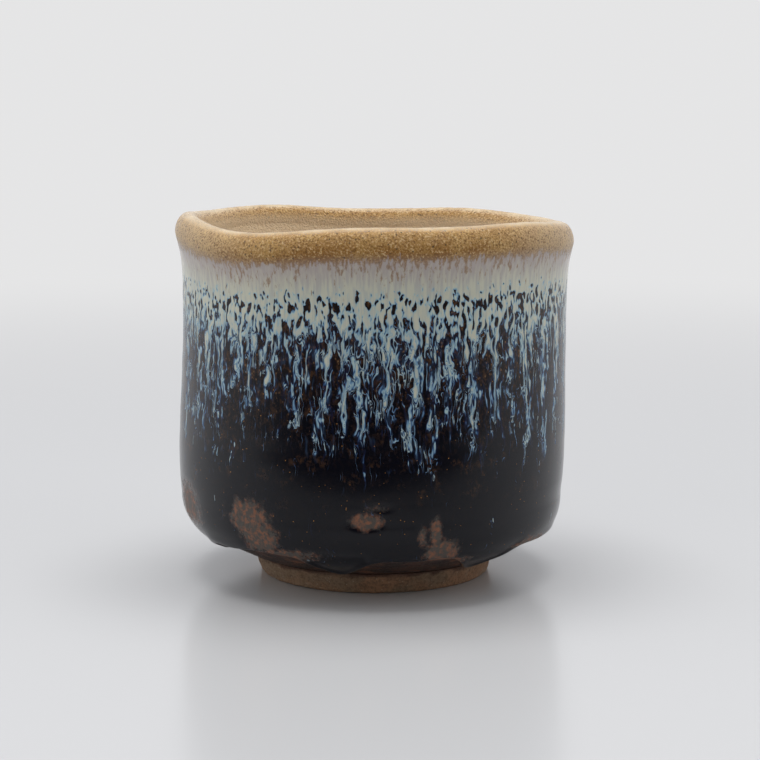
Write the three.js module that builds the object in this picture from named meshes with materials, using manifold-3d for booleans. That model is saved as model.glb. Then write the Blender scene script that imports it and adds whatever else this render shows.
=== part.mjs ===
// A hand-thrown stoneware sake cup, with its coats laid one over another: clay body, turned foot ring,
// iron wash, black base glaze with finger marks, straw-ash glaze in runs, amber lip glaze, liner glaze.
// Millimetres, +Z up. The origin is the centre of the foot's resting plane, and the front faces -Y.
// Azimuths are degrees from the front, turning towards the cup's right side (+X).
import * as THREE from "three";
import { mergeVertices } from "three/addons/utils/BufferGeometryUtils.js";
import Module from "manifold-3d";

const { degToRad, euclideanModulo, smoothstep, lerp, clamp } = THREE.MathUtils;
const FULL_TURN = 360;

// Foot ring, turned from the same clay and left bare
const FOOT_RADIUS = 18.4; // outer edge at the table
const FOOT_HEIGHT = 3.4;
const FOOT_FLARE = 0.9; // how much wider the ring is where it meets the body
const FOOT_WALL = 4.2; // ring width at the table
const FOOT_BATTER = 0.8; // how far the inside of the ring leans in towards the top
const FOOT_EDGE = 0.6; // worn round along both lower edges

// Clay body
const RIM_HEIGHT = 56.25; // mean crest of the clay lip
const LIP_RADIUS = 30.85; // widest part of the rolled lip
const LIP_DROP = 2.5; // from the crest down to that widest part
const LIP_THICKNESS = 3.0;
const WAIST_INSET = 1.55; // waist under the lip, in from the lip's widest part
const WAIST_DROP = 11.8; // from the crest down to the waist
const BELLY_INSET = 0.95; // belly, in from the lip's widest part
const BELLY_HEIGHT = 21;
const HIP_INSET = 1.15; // hip, where the wall turns under, in from the lip's widest part
const HIP_ROUND = 4.2; // softness of that turn, along the wall and along the underside
const BASE_SLOPE = 27; // degrees of the underside between foot and hip
const WALL = 3.2;
const FLOOR = 4.2;
const WELL_ROUND = 9; // curve between the inner wall and the floor
const WELL_DISH = 0.5; // how far the floor sinks to its middle
const RECESS_DOME = 0.6; // how far the underside rises inside the foot ring

// Marks of the hand: the rim rises and falls, the mouth is a little oval, the belly leans left
const RIM_WAVES = [
  { count: 1, rise: 0.35, crest: 257 },
  { count: 2, rise: 0.4, crest: 47 },
  { count: 3, rise: 0.35, crest: 27 },
  { count: 5, rise: 0.26, crest: 67 },
  { count: 6, rise: 0.13, crest: 43 },
];
const MOUTH_OVAL = 0.2; // wider by this much to the sides, narrower to front and back
const BELLY_LEAN = 0.55;

// Coats, all measured square to the clay
const SEAT_GAP = 0.15; // between any two coats
const EDGE_GAP = 0.2; // between coats that meet end to end
const WASH = 0.12;
const BLACK_GLAZE = 0.45;
const ASH_GLAZE = 0.4;
const LIP_GLAZE = 0.42;
const LINER_GLAZE = 0.45;
const FEATHER = 2.5; // length over which a coat thins out to its edge
const ASH_BRIM = 0.24; // thickness of the straw-ash coat where it meets the lip glaze

// Where the coats begin and end
const WASH_EDGE = 1.1; // lower edge of the wash above the foot joint
const WASH_TOP = 15.6; // upper edge of the wash above the foot joint
const BLACK_EDGE = 3.9; // lower edge of the black glaze above the foot joint, between its lobes
const BLACK_ROLL = 0.22; // extra thickness of the roll along that edge
const ROLL_RISE = 0.6; // from that edge up to the thickest part of the roll
const LOBES = [
  { azimuth: -74, drop: 1.9, spread: 9 },
  { azimuth: -12, drop: 2.6, spread: 8 },
  { azimuth: 45, drop: 2.2, spread: 11 },
  { azimuth: 96, drop: 1.8, spread: 12 },
  { azimuth: 140, drop: 2.5, spread: 9 },
  { azimuth: 186, drop: 1.7, spread: 10 },
  { azimuth: 232, drop: 2.4, spread: 12 },
];
const LIP_BAND = 5.6; // outer width of the amber lip, below the crest
const LIP_INSIDE = 6.5; // inner width of the amber lip, below the crest
const RUN_START = 18.2; // below the crest, where the straw-ash coat parts into runs
const RUN_COUNT = 50;
const RUN_DROP = 13; // mean length of a run
const RUN_SPREAD = 4.5; // how much longer or shorter a run may be
const RUN_BLUNTNESS = 4; // the higher, the blunter the end of a run
const RUN_WANDER = [
  { count: 7, degrees: 2.6 },
  { count: 12, degrees: 1.2 },
]; // how far runs crowd together and spread apart
const RUN_GROOVE = 0.18; // how much thinner the coat is between two runs
const RUN_BEAD = 0.2; // drop of glaze gathered at the end of a run
const BEAD_LENGTH = 1.3;

// Finger marks left by the dipping grip, where the black glaze is missing: place, half width, half height
const FINGER_MARKS = [
  { azimuth: -76, height: 9.2, across: 3.6, tall: 3.4 },
  { azimuth: -34, height: 8.6, across: 4.6, tall: 4.2 },
  { azimuth: -1, height: 11.3, across: 2.2, tall: 1.5 },
  { azimuth: 20, height: 6.6, across: 2.8, tall: 3.2 },
  { azimuth: 66, height: 4.6, across: 3.4, tall: 1.8 },
  { azimuth: 168, height: 8.2, across: 5.2, tall: 4.4 },
];
const MARK_DEPTH = 2.5; // reach of a finger mark to either side of the glaze

// Facets
const COLUMNS = 48;
const BLACK_COLUMNS = 60;
const COLUMNS_PER_RUN = 4;
const HIP_STEPS = 4;
const WALL_STEPS = 6;
const INNER_STEPS = 4;
const CREST_STEPS = 6;
const MARK_SIDES = 10;
const WELL_STEPS = 3;

const MATERIALS = {
  bareClay: { color: 0x8d7a66, roughness: 0.9 },
  washedClay: { color: 0x7f4c31, roughness: 0.7 },
  blackGlaze: { color: 0x14151b, roughness: 0.22 },
  ashGlaze: { color: 0x9fb6c4, roughness: 0.3 },
  amberGlaze: { color: 0xa58a60, roughness: 0.45 },
  linerGlaze: { color: 0xa08458, roughness: 0.35 },
};

const point = (radius, height) => new THREE.Vector2(radius, height);

// The clay's surface in section, as radius and height, from the foot joint over the lip to the well's middle
const footTop = FOOT_RADIUS + FOOT_FLARE;
const hipRadius = LIP_RADIUS - HIP_INSET;
const slope = degToRad(BASE_SLOPE);
const floorHeight = FOOT_HEIGHT + FLOOR;
const joint = point(footTop, FOOT_HEIGHT);
const hipCorner = point(hipRadius, FOOT_HEIGHT + (hipRadius - footTop) * Math.tan(slope));
const hipStart = hipCorner.clone().sub(point(Math.cos(slope), Math.sin(slope)).multiplyScalar(HIP_ROUND));
const hipEnd = point(hipRadius, hipCorner.y + HIP_ROUND);
const belly = point(LIP_RADIUS - BELLY_INSET, BELLY_HEIGHT);
const waist = point(LIP_RADIUS - WAIST_INSET, RIM_HEIGHT - WAIST_DROP);
const lip = point(LIP_RADIUS, RIM_HEIGHT - LIP_DROP);
const wellTop = point(hipRadius - WALL, floorHeight + WELL_ROUND);

const hipCurve = new THREE.QuadraticBezierCurve(hipStart, hipCorner, hipEnd);
const wallCurve = new THREE.SplineCurve([hipEnd, belly, waist, lip]);
const crestCurve = new THREE.EllipseCurve(
  LIP_RADIUS - LIP_THICKNESS / 2, lip.y, LIP_THICKNESS / 2, LIP_DROP, 0, Math.PI,
);
const innerCurve = new THREE.SplineCurve([
  point(LIP_RADIUS - LIP_THICKNESS, lip.y),
  point(waist.x - WALL, waist.y),
  point(belly.x - WALL, belly.y),
  wellTop,
]);
const wellCurve = new THREE.EllipseCurve(
  wellTop.x - WELL_ROUND, wellTop.y, WELL_ROUND, WELL_ROUND, 0, -Math.PI / 2, true,
);

const claySurface = [
  joint,
  ...hipCurve.getPoints(HIP_STEPS),
  ...wallCurve.getPoints(WALL_STEPS).slice(1),
  ...crestCurve.getPoints(CREST_STEPS).slice(1),
  ...innerCurve.getPoints(INNER_STEPS).slice(1),
  ...wellCurve.getPoints(WELL_STEPS).slice(1),
  point(0, floorHeight - WELL_DISH),
];
const hipTop = 1 + HIP_STEPS;
const crestIndex = hipTop + WALL_STEPS + CREST_STEPS / 2;
const lastIndex = claySurface.length - 1;

// A place on the clay's surface is a number that counts its points, with fractions between two of them
function clayAt(place) {
  const index = Math.min(Math.floor(place), lastIndex - 1);
  return claySurface[index].clone().lerp(claySurface[index + 1], place - index);
}

function normalAtPoint(index) {
  if (index === lastIndex) return point(0, 1);
  const before = claySurface[Math.max(index - 1, 0)];
  const along = claySurface[index + 1].clone().sub(before);
  return point(along.y, -along.x).normalize();
}

function normalAt(place) {
  const index = Math.min(Math.floor(place), lastIndex - 1);
  return normalAtPoint(index).lerp(normalAtPoint(index + 1), place - index).normalize();
}

// The place at a given height, on the outer side or on the inner side of the lip
function placeAtHeight(height, first, last) {
  for (let index = first; index < last; index++) {
    const from = claySurface[index].y;
    const to = claySurface[index + 1].y;
    if ((height - from) * (height - to) <= 0 && from !== to) return index + (height - from) / (to - from);
  }
  throw new Error(`no clay at height ${height}`);
}
const outsidePlace = (height) => placeAtHeight(height, 0, crestIndex);
const insidePlace = (height) => placeAtHeight(height, crestIndex, lastIndex);

// A point lifted off the clay
const lifted = (place, lift) => clayAt(place).add(normalAt(place).multiplyScalar(lift));

// The places of a coat that runs from one place to another, with the clay's own points between them
function placesBetween(from, to) {
  const places = [from];
  for (let index = Math.floor(from) + 1; index < to; index++) places.push(index);
  places.push(to);
  return places;
}

// The closed section of a coat, which has a knife edge at either end unless it is blunt there
function coatSection(places, innerLift, outerLift, { bluntStart = false, bluntEnd = false } = {}) {
  const inner = places.map((place) => lifted(place, innerLift(place)));
  const outerPlaces = places.slice(bluntStart ? 0 : 1, bluntEnd ? undefined : -1);
  const outer = outerPlaces.map((place) => lifted(place, outerLift(place)));
  return [...inner, ...outer.reverse(), inner[0].clone()];
}

// How full a coat is near one of its edges, from 0 at the edge to 1 a feather's length away
function fullness(place, edge) {
  return smoothstep(clayAt(place).distanceTo(clayAt(edge)), 0, FEATHER);
}

// The potter's hand moves every piece alike, so coats stay seated on the clay
function rimRise(azimuth) {
  return RIM_WAVES.reduce(
    (sum, wave) => sum + wave.rise * Math.cos(wave.count * degToRad(azimuth - wave.crest)), 0,
  );
}

function byHand(section, azimuth) {
  const turn = degToRad(azimuth);
  const climb = smoothstep(section.y, belly.y, RIM_HEIGHT);
  const lean = smoothstep(section.y, FOOT_HEIGHT, hipEnd.y) * (1 - smoothstep(section.y, hipEnd.y, waist.y));
  const radius = section.x * (1 - climb * MOUTH_OVAL / LIP_RADIUS * Math.cos(2 * turn));
  return new THREE.Vector3(
    radius * Math.sin(turn) - BELLY_LEAN * lean,
    -radius * Math.cos(turn),
    section.y + climb * rimRise(azimuth),
  );
}

// Turns a section round the axis. The section may change from column to column, but not its number of points.
function revolve(columns, sectionAt, azimuthAt = (column) => (column * FULL_TURN) / columns) {
  const geometry = new THREE.LatheGeometry(sectionAt(0, 0), columns);
  const positions = geometry.getAttribute("position");
  const rows = positions.count / (columns + 1);
  for (let column = 0; column <= columns; column++) {
    const azimuth = azimuthAt(column % columns);
    sectionAt(azimuth, column % columns).forEach((section, row) => {
      const { x, y, z } = byHand(section, azimuth);
      positions.setXYZ(column * rows + row, x, y, z);
    });
  }
  return weld(geometry);
}

// Joins shared points, drops faces without area and turns the faces outwards
function weld(geometry) {
  geometry.deleteAttribute("normal");
  geometry.deleteAttribute("uv");
  const joined = mergeVertices(geometry, 1e-4);
  const corners = joined.getIndex().array;
  const faces = [];
  for (let i = 0; i < corners.length; i += 3) {
    const [a, b, c] = corners.slice(i, i + 3);
    if (a !== b && b !== c && c !== a) faces.push([a, b, c]);
  }
  const positions = joined.getAttribute("position");
  const [a, b, c] = [new THREE.Vector3(), new THREE.Vector3(), new THREE.Vector3()];
  const volume = faces.reduce((sum, face) => {
    [a, b, c].forEach((corner, i) => corner.fromBufferAttribute(positions, face[i]));
    return sum + a.dot(b.cross(c));
  }, 0);
  joined.setIndex(faces.flatMap((face) => (volume < 0 ? [face[0], face[2], face[1]] : face)));
  return joined;
}

// Booleans on welded geometry
const wasm = await Module();
wasm.setup();

function solidOf(geometry) {
  return new wasm.Manifold(new wasm.Mesh({
    numProp: 3,
    vertProperties: new Float32Array(geometry.getAttribute("position").array),
    triVerts: new Uint32Array(geometry.getIndex().array),
  }));
}

function geometryOf(solid) {
  const mesh = solid.getMesh();
  const geometry = new THREE.BufferGeometry();
  geometry.setAttribute("position", new THREE.BufferAttribute(new Float32Array(mesh.vertProperties), 3));
  geometry.setIndex(new THREE.BufferAttribute(new Uint32Array(mesh.triVerts), 1));
  return geometry;
}

function clayBody() {
  const underside = [
    point(0, FOOT_HEIGHT + RECESS_DOME),
    point(footTop - FOOT_WALL - FOOT_FLARE - FOOT_BATTER, FOOT_HEIGHT),
  ];
  return revolve(COLUMNS, () => [...underside, ...claySurface].map((section) => section.clone()));
}

function footRing() {
  const inner = FOOT_RADIUS - FOOT_WALL;
  const top = FOOT_HEIGHT - SEAT_GAP;
  const outline = new THREE.Path();
  outline.moveTo(inner + FOOT_EDGE, 0);
  outline.lineTo(FOOT_RADIUS - FOOT_EDGE, 0);
  outline.quadraticCurveTo(FOOT_RADIUS, 0, FOOT_RADIUS, FOOT_EDGE);
  outline.lineTo(footTop, top);
  outline.lineTo(inner - FOOT_BATTER, top);
  outline.lineTo(inner, FOOT_EDGE);
  outline.quadraticCurveTo(inner, 0, inner + FOOT_EDGE, 0);
  const section = outline.getPoints(2);
  return revolve(COLUMNS, () => section);
}

// The wash covers the hip and the lower wall, under the black glaze
const washEdge = outsidePlace(FOOT_HEIGHT + WASH_EDGE);
const washTop = outsidePlace(FOOT_HEIGHT + WASH_TOP);
const lipEdge = outsidePlace(RIM_HEIGHT - LIP_BAND);
const washLift = (place) => SEAT_GAP + WASH * Math.min(fullness(place, washEdge), fullness(place, washTop));

function ironWash() {
  const places = placesBetween(washEdge, washTop);
  return revolve(COLUMNS, () => coatSection(places, () => SEAT_GAP, washLift));
}

// The black glaze lies over the wash, and straight on the clay above it
const overWash = (place) => {
  const above = clayAt(place).y - clayAt(washTop).y;
  return SEAT_GAP + (SEAT_GAP + WASH) * (1 - smoothstep(above, 0, FEATHER));
};

function blackEdgeHeight(azimuth) {
  return LOBES.reduce((height, lobe) => {
    const away = euclideanModulo(azimuth - lobe.azimuth + FULL_TURN / 2, FULL_TURN) - FULL_TURN / 2;
    return height - lobe.drop * Math.exp(-((away / lobe.spread) ** 2));
  }, FOOT_HEIGHT + BLACK_EDGE);
}

const blackThickness = (place) => BLACK_GLAZE * fullness(place, lipEdge);
const overBlack = (place) => overWash(place) + blackThickness(place) + SEAT_GAP;

function blackGlaze() {
  const wallPlaces = placesBetween(hipTop, lipEdge);
  const coat = revolve(BLACK_COLUMNS, (azimuth) => {
    const edge = outsidePlace(blackEdgeHeight(azimuth));
    const rollTop = outsidePlace(blackEdgeHeight(azimuth) + ROLL_RISE);
    const places = [edge, rollTop, ...placesOverHip(rollTop), ...wallPlaces];
    const roll = (place) => BLACK_ROLL * clamp((hipTop - place) / (hipTop - rollTop), 0, 1);
    return coatSection(places, overWash, (place) => overWash(place) + blackThickness(place) + roll(place));
  });
  return geometryOf(FINGER_MARKS.reduce((solid, mark) => solid.subtract(fingerMark(mark)), solidOf(coat)));
}

// The clay's points round the hip, those below a place moved up to just above it
function placesOverHip(from) {
  const steps = Array.from({ length: hipTop - 1 }, (_, step) => step + 1);
  return steps.map((step) => Math.max(step, lerp(from, hipTop, (step / hipTop) ** 2)));
}

// An egg-shaped cutter set across the coat
function fingerMark({ azimuth, height, across, tall }) {
  const place = outsidePlace(FOOT_HEIGHT + height);
  const centre = byHand(lifted(place, overWash(place) + BLACK_GLAZE / 2), azimuth);
  const normal = normalAt(place);
  const egg = new THREE.SphereGeometry(1, MARK_SIDES, MARK_SIDES / 2);
  egg.scale(across, MARK_DEPTH, tall);
  egg.rotateX(Math.atan2(normal.y, normal.x));
  egg.rotateZ(degToRad(azimuth));
  egg.translate(centre.x, centre.y, centre.z);
  return solidOf(weld(egg));
}

// The straw-ash coat hangs from the lip band and parts into runs of unlike length
const SCATTER_STEP = 0.618034; // golden section, so that neighbours differ and no pattern repeats
const scatter = (index) => euclideanModulo(index * SCATTER_STEP + Math.sin(index), 1);

function strawAshGlaze() {
  const columns = RUN_COUNT * COLUMNS_PER_RUN;
  const runStart = RIM_HEIGHT - RUN_START;
  const bandFoot = runStart + 2 * BEAD_LENGTH;
  const bandPlaces = [bandFoot, waist.y].sort((low, high) => low - high).map(outsidePlace);
  const azimuthAt = (column) => {
    const even = (column * FULL_TURN) / columns;
    const wander = RUN_WANDER.map(({ count, degrees }) => degrees * Math.sin(degToRad(count * even)));
    return wander.reduce((sum, shift) => sum + shift, even);
  };
  const sectionAt = (azimuth, column) => {
    const run = Math.floor(column / COLUMNS_PER_RUN);
    const across = (2 * (column % COLUMNS_PER_RUN)) / COLUMNS_PER_RUN - 1;
    const drop = RUN_DROP + RUN_SPREAD * (2 * scatter(run) - 1);
    const tip = runStart - drop * (1 - Math.abs(across) ** RUN_BLUNTNESS);
    const bead = outsidePlace(tip + BEAD_LENGTH);
    const thickness = (place) => {
      if (place === bead) return ASH_GLAZE - RUN_GROOVE * across ** 2 + RUN_BEAD * (1 - Math.abs(across));
      return lerp(ASH_BRIM, ASH_GLAZE, fullness(place, lipEdge));
    };
    const places = [outsidePlace(tip), bead, ...bandPlaces, lipEdge];
    return coatSection(places, overBlack, (place) => overBlack(place) + thickness(place), { bluntEnd: true });
  };
  return revolve(columns, sectionAt, azimuthAt);
}

// The amber glaze rolls over the lip, and the liner glaze goes on from it down the inside
const lipStart = outsidePlace(RIM_HEIGHT - LIP_BAND + EDGE_GAP);
const lipEnd = insidePlace(RIM_HEIGHT - LIP_INSIDE);
const linerStart = insidePlace(RIM_HEIGHT - LIP_INSIDE - EDGE_GAP);

function lipGlaze() {
  const places = placesBetween(lipStart, lipEnd);
  const section = coatSection(places, () => SEAT_GAP, () => SEAT_GAP + LIP_GLAZE, { bluntStart: true });
  return revolve(COLUMNS, () => section);
}

function linerGlaze() {
  const places = placesBetween(linerStart, lastIndex);
  const inner = places.map((place) => lifted(place, SEAT_GAP));
  const outer = places.slice(1).map((place) => lifted(place, SEAT_GAP + LINER_GLAZE));
  return revolve(COLUMNS, () => [...inner.slice().reverse(), ...outer]);
}

const PIECES = [
  ["clay_body", clayBody, MATERIALS.bareClay],
  ["foot_ring", footRing, MATERIALS.bareClay],
  ["iron_wash", ironWash, MATERIALS.washedClay],
  ["black_glaze", blackGlaze, MATERIALS.blackGlaze],
  ["straw_ash_glaze", strawAshGlaze, MATERIALS.ashGlaze],
  ["lip_glaze", lipGlaze, MATERIALS.amberGlaze],
  ["liner_glaze", linerGlaze, MATERIALS.linerGlaze],
];

const cup = new THREE.Group();
for (const [name, makeGeometry, finish] of PIECES) {
  const mesh = new THREE.Mesh(makeGeometry(), new THREE.MeshStandardMaterial({ ...finish, metalness: 0 }));
  mesh.name = name;
  cup.add(mesh);
}

export default cup;
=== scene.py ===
"""A hand-thrown stoneware sake cup, dressed in its clay, wash and glazes.

Named sizes are millimetres and meshes are metres. The front faces -Y, and azimuths are degrees from the
front, turning towards +X. A place on the cup is told by how far along the clay's section it lies, from the
foot joint over the lip to the middle of the well, and by how far it is lifted off the clay.
"""

import logging
import math
from dataclasses import dataclass, field
from enum import Enum
from functools import cached_property

import bmesh
import bpy
import numpy as np
from mathutils import Euler, Matrix


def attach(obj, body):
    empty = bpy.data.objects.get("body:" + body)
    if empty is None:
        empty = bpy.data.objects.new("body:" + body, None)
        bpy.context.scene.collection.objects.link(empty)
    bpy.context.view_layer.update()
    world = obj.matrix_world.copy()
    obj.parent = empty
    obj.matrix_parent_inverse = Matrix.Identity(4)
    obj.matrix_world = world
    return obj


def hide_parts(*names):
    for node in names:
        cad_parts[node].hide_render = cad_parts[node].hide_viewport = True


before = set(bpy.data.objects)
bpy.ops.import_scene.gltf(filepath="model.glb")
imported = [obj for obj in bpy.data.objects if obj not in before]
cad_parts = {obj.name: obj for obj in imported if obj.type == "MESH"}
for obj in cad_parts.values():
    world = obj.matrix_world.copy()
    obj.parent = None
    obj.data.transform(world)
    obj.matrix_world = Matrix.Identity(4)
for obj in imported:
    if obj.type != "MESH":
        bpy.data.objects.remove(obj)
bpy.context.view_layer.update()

MM = 0.001
BODY = "root"
log = logging.getLogger("sake_cup")

Array = np.ndarray
Colour = tuple[float, float, float]
Span = tuple[float, float]
Socket = bpy.types.NodeSocket


class Slot(Enum):
    """The record's material slots."""

    BARE_CLAY = "bare_clay"
    IRON_WASH = "iron_wash"
    BLACK_GLAZE = "black_glaze"
    STRAW_ASH = "straw_ash_glaze"
    AMBER = "amber_glaze"
    LINER = "liner_glaze"


def tone(red: int, green: int, blue: int) -> Colour:
    """Turns a colour seen on a screen into the linear one that a shader takes.

    Args:
        red: Red, 0 to 255.
        green: Green, 0 to 255.
        blue: Blue, 0 to 255.

    Returns:
        The linear colour.
    """
    return tuple(((c / 255 + 0.055) / 1.055) ** 2.4 if c > 10 else c / 3294.6 for c in (red, green, blue))


def ease(value: Array, start: float, stop: float) -> Array:
    """Goes softly from 0 to 1 as a value goes from start to stop.

    Args:
        value: The values.
        start: Where the result is 0.
        stop: Where the result is 1.

    Returns:
        The eased values.
    """
    t = np.clip((value - start) / (stop - start), 0, 1)
    return t * t * (3 - 2 * t)


def around(azimuth: Array, centre: float) -> Array:
    """Measures azimuths from a centre, the short way round.

    Args:
        azimuth: Azimuths in degrees.
        centre: The centre in degrees.

    Returns:
        Signed degrees from the centre.
    """
    return (azimuth - centre + 180) % 360 - 180


def distances(points: Array) -> Array:
    """Measures how far along a line its points lie.

    Args:
        points: The points of the line.

    Returns:
        The distance of each point from the start, along the line.
    """
    return np.concatenate(([0], np.cumsum(np.linalg.norm(np.diff(points, axis=0), axis=1))))


def straight_line(start: Array | Span, stop: Array | Span, count: int) -> Array:
    """Draws a straight line.

    Args:
        start: Radius and height of its start.
        stop: Radius and height of its end.
        count: How many points it has.

    Returns:
        The points of the line.
    """
    t = np.linspace(0, 1, count)[:, None]
    return np.array(start) * (1 - t) + np.array(stop) * t


def arc_line(middle: Span, radii: Span, turn: Span, count: int) -> Array:
    """Draws an arc of an ellipse.

    Args:
        middle: Radius and height of its middle.
        radii: Its half width and half height.
        turn: Angles of its start and end in degrees.
        count: How many points it has.

    Returns:
        The points of the arc.
    """
    angle = np.radians(np.linspace(*turn, count))
    return np.stack((middle[0] + radii[0] * np.cos(angle), middle[1] + radii[1] * np.sin(angle)), 1)


def smooth_line(stations: list, steps: int = 80) -> Array:
    """Draws a smooth line through stations.

    Args:
        stations: Radius and height of each station.
        steps: Points between two stations.

    Returns:
        The points of the line.
    """
    knots = np.array(stations, float)
    knots = np.concatenate((knots[:1], knots, knots[-1:]))
    t = np.linspace(0, 1, steps, endpoint=False)[:, None]
    spans = []
    for a, b, c, d in zip(knots, knots[1:], knots[2:], knots[3:]):
        spans.append(b + 0.5 * t * (c - a + t * (2 * a - 5 * b + 4 * c - d + t * (3 * (b - c) + d - a))))
    return np.concatenate(spans + [knots[-1:]])


def resampled(points: Array, count: int) -> Array:
    """Spaces the points of a line evenly.

    Args:
        points: The points of the line.
        count: How many points to return.

    Returns:
        Points at even distances along the line.
    """
    arc = distances(points)
    even = np.linspace(0, arc[-1], count)
    return np.stack([np.interp(even, arc, points[:, axis]) for axis in (0, 1)], 1)


@dataclass(frozen=True)
class Unevenness:
    """Soft lumps that go round the cup without a seam.

    Args:
        seed: Seed of the lumps.
        across: Width of a lump along the wall's girth.
        tall: Height of a lump along the section.
        girth: Girth of the wall.
        reach: Length of the section.
    """

    seed: int
    across: float
    tall: float
    girth: float = 194.0
    reach: float = 140.0

    @cached_property
    def heights(self) -> Array:
        """Random heights on a lattice that closes on itself."""
        shape = (int(self.reach / self.tall) + 4, max(3, round(self.girth / self.across)))
        return np.random.default_rng(self.seed).uniform(-1, 1, shape)

    def at(self, azimuth: Array, along: Array) -> Array:
        """Reads the lumps.

        Args:
            azimuth: Azimuths in degrees.
            along: Places along the section.

        Returns:
            Values from -1 to 1.
        """
        rows, columns = self.heights.shape
        u = (azimuth / 360 % 1) * columns
        v = np.clip(along / self.tall, 0, rows - 2.001)
        i, j = np.floor(u).astype(int), np.floor(v).astype(int)
        s, t = ease(u - i, 0, 1), ease(v - j, 0, 1)
        i, after = i % columns, (i + 1) % columns
        low = self.heights[j, i] * (1 - s) + self.heights[j, after] * s
        high = self.heights[j + 1, i] * (1 - s) + self.heights[j + 1, after] * s
        return low * (1 - t) + high * t


@dataclass(frozen=True)
class RimWave:
    """One wave of the uneven rim.

    Args:
        count: Waves round the rim.
        rise: Height of a wave.
        crest: Azimuth of a crest.
    """

    count: int
    rise: float
    crest: float


@dataclass(frozen=True)
class CupForm:
    """The clay's section and the marks of the hand that threw it."""

    foot_radius: float = 18.4
    foot_height: float = 3.4
    foot_flare: float = 0.9
    foot_wall: float = 4.2
    foot_batter: float = 0.8
    foot_edge: float = 0.6
    rim_height: float = 56.25
    lip_radius: float = 30.85
    lip_drop: float = 2.5
    lip_thickness: float = 3.0
    waist_inset: float = 1.55
    waist_drop: float = 11.8
    belly_inset: float = 0.95
    belly_height: float = 21.0
    hip_inset: float = 1.15
    hip_round: float = 4.2
    base_slope: float = 27.0
    wall: float = 3.2
    floor: float = 4.2
    well_round: float = 9.0
    well_dish: float = 0.5
    recess_dome: float = 0.6
    mouth_oval: float = 0.2
    belly_lean: float = 0.55
    rim_waves: tuple[RimWave, ...] = (
        RimWave(1, 0.35, 257), RimWave(2, 0.4, 47), RimWave(3, 0.35, 27),
        RimWave(5, 0.26, 67), RimWave(6, 0.13, 43),
    )
    lumps: Unevenness = Unevenness(3, 9.0, 7.0)
    lump_depth: float = 0.07
    rings: Unevenness = Unevenness(5, 40.0, 2.6)
    ring_depth: float = 0.045
    turn_steps: int = 60
    lip_steps: int = 80
    curve_steps: int = 2400
    softening: int = 12

    @property
    def foot_top(self) -> float:
        """Radius of the foot where it meets the body."""
        return self.foot_radius + self.foot_flare

    @property
    def recess_radius(self) -> float:
        """Radius of the recess inside the foot ring, at its top."""
        return self.foot_radius - self.foot_wall - self.foot_batter

    @property
    def hip_radius(self) -> float:
        """Radius of the wall above the hip."""
        return self.lip_radius - self.hip_inset

    @property
    def hip_height(self) -> float:
        """Height at which the hip has turned into the wall."""
        rise = (self.hip_radius - self.foot_top) * math.tan(math.radians(self.base_slope))
        return self.foot_height + rise + self.hip_round

    @cached_property
    def curve(self) -> Array:
        """The section, closely spaced.

        Returns:
            Radius and height of its points.
        """
        slope = math.radians(self.base_slope)
        corner = np.array((self.hip_radius, self.hip_height - self.hip_round))
        hip_start = corner - self.hip_round * np.array((math.cos(slope), math.sin(slope)))
        hip_end = np.array((self.hip_radius, self.hip_height))
        t = np.linspace(0, 1, self.turn_steps)[:, None]
        hip = hip_start * (1 - t) ** 2 + 2 * corner * t * (1 - t) + hip_end * t ** 2
        base = straight_line((self.foot_top, self.foot_height), hip_start, self.turn_steps)

        lip_height, half_lip = self.rim_height - self.lip_drop, self.lip_thickness / 2
        waist = (self.lip_radius - self.waist_inset, self.rim_height - self.waist_drop)
        belly = (self.lip_radius - self.belly_inset, self.belly_height)
        wall = smooth_line([hip_end, belly, waist, (self.lip_radius, lip_height)])
        middle = (self.lip_radius - half_lip, lip_height)
        crest = arc_line(middle, (half_lip, self.lip_drop), (0, 180), self.lip_steps)

        floor_height = self.foot_height + self.floor
        well_top = (self.hip_radius - self.wall, floor_height + self.well_round)
        inner = smooth_line([
            (self.lip_radius - self.lip_thickness, lip_height), (waist[0] - self.wall, waist[1]),
            (belly[0] - self.wall, belly[1]), well_top,
        ])
        middle = (well_top[0] - self.well_round, well_top[1])
        well = arc_line(middle, (self.well_round, self.well_round), (0, -90), self.turn_steps)
        flat = straight_line(well[-1], (0, floor_height - self.well_dish), self.turn_steps)

        parts = [base, hip, wall, crest, inner, well, flat]
        points = np.concatenate([parts[0]] + [part[1:] for part in parts[1:]])
        return resampled(points, self.curve_steps)

    @cached_property
    def arc(self) -> Array:
        """Distance along the section of each point of the curve."""
        return distances(self.curve)

    @cached_property
    def normal(self) -> Array:
        """The way out of the clay.

        Returns:
            A unit vector at each point of the curve.
        """
        tangent = np.gradient(self.curve, axis=0)
        for _ in range(self.softening):
            tangent[1:-1] = (tangent[:-2] + 2 * tangent[1:-1] + tangent[2:]) / 4
        out = np.stack((tangent[:, 1], -tangent[:, 0]), 1)
        out[-1] = (0, 1)
        return out / np.linalg.norm(out, axis=1)[:, None]

    @cached_property
    def top(self) -> int:
        """Which point of the curve is the lip's crest."""
        return int(np.argmax(self.curve[:, 1]))

    @property
    def crest(self) -> float:
        """Place of the lip's crest along the section."""
        return float(self.arc[self.top])

    @property
    def middle(self) -> float:
        """Place of the well's middle, where the section ends."""
        return float(self.arc[-1])

    def outside(self, height: float | Array) -> float | Array:
        """Finds the place on the outer side at a height."""
        return np.interp(height, self.curve[:self.top + 1, 1], self.arc[:self.top + 1])

    def inside(self, height: float) -> float:
        """Finds the place on the inner side at a height."""
        return float(np.interp(-height, -self.curve[self.top:, 1], self.arc[self.top:]))

    def height(self, along: Array) -> Array:
        """Gives the height of places along the section, before the rim's waves."""
        return np.interp(along, self.arc, self.curve[:, 1])

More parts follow.
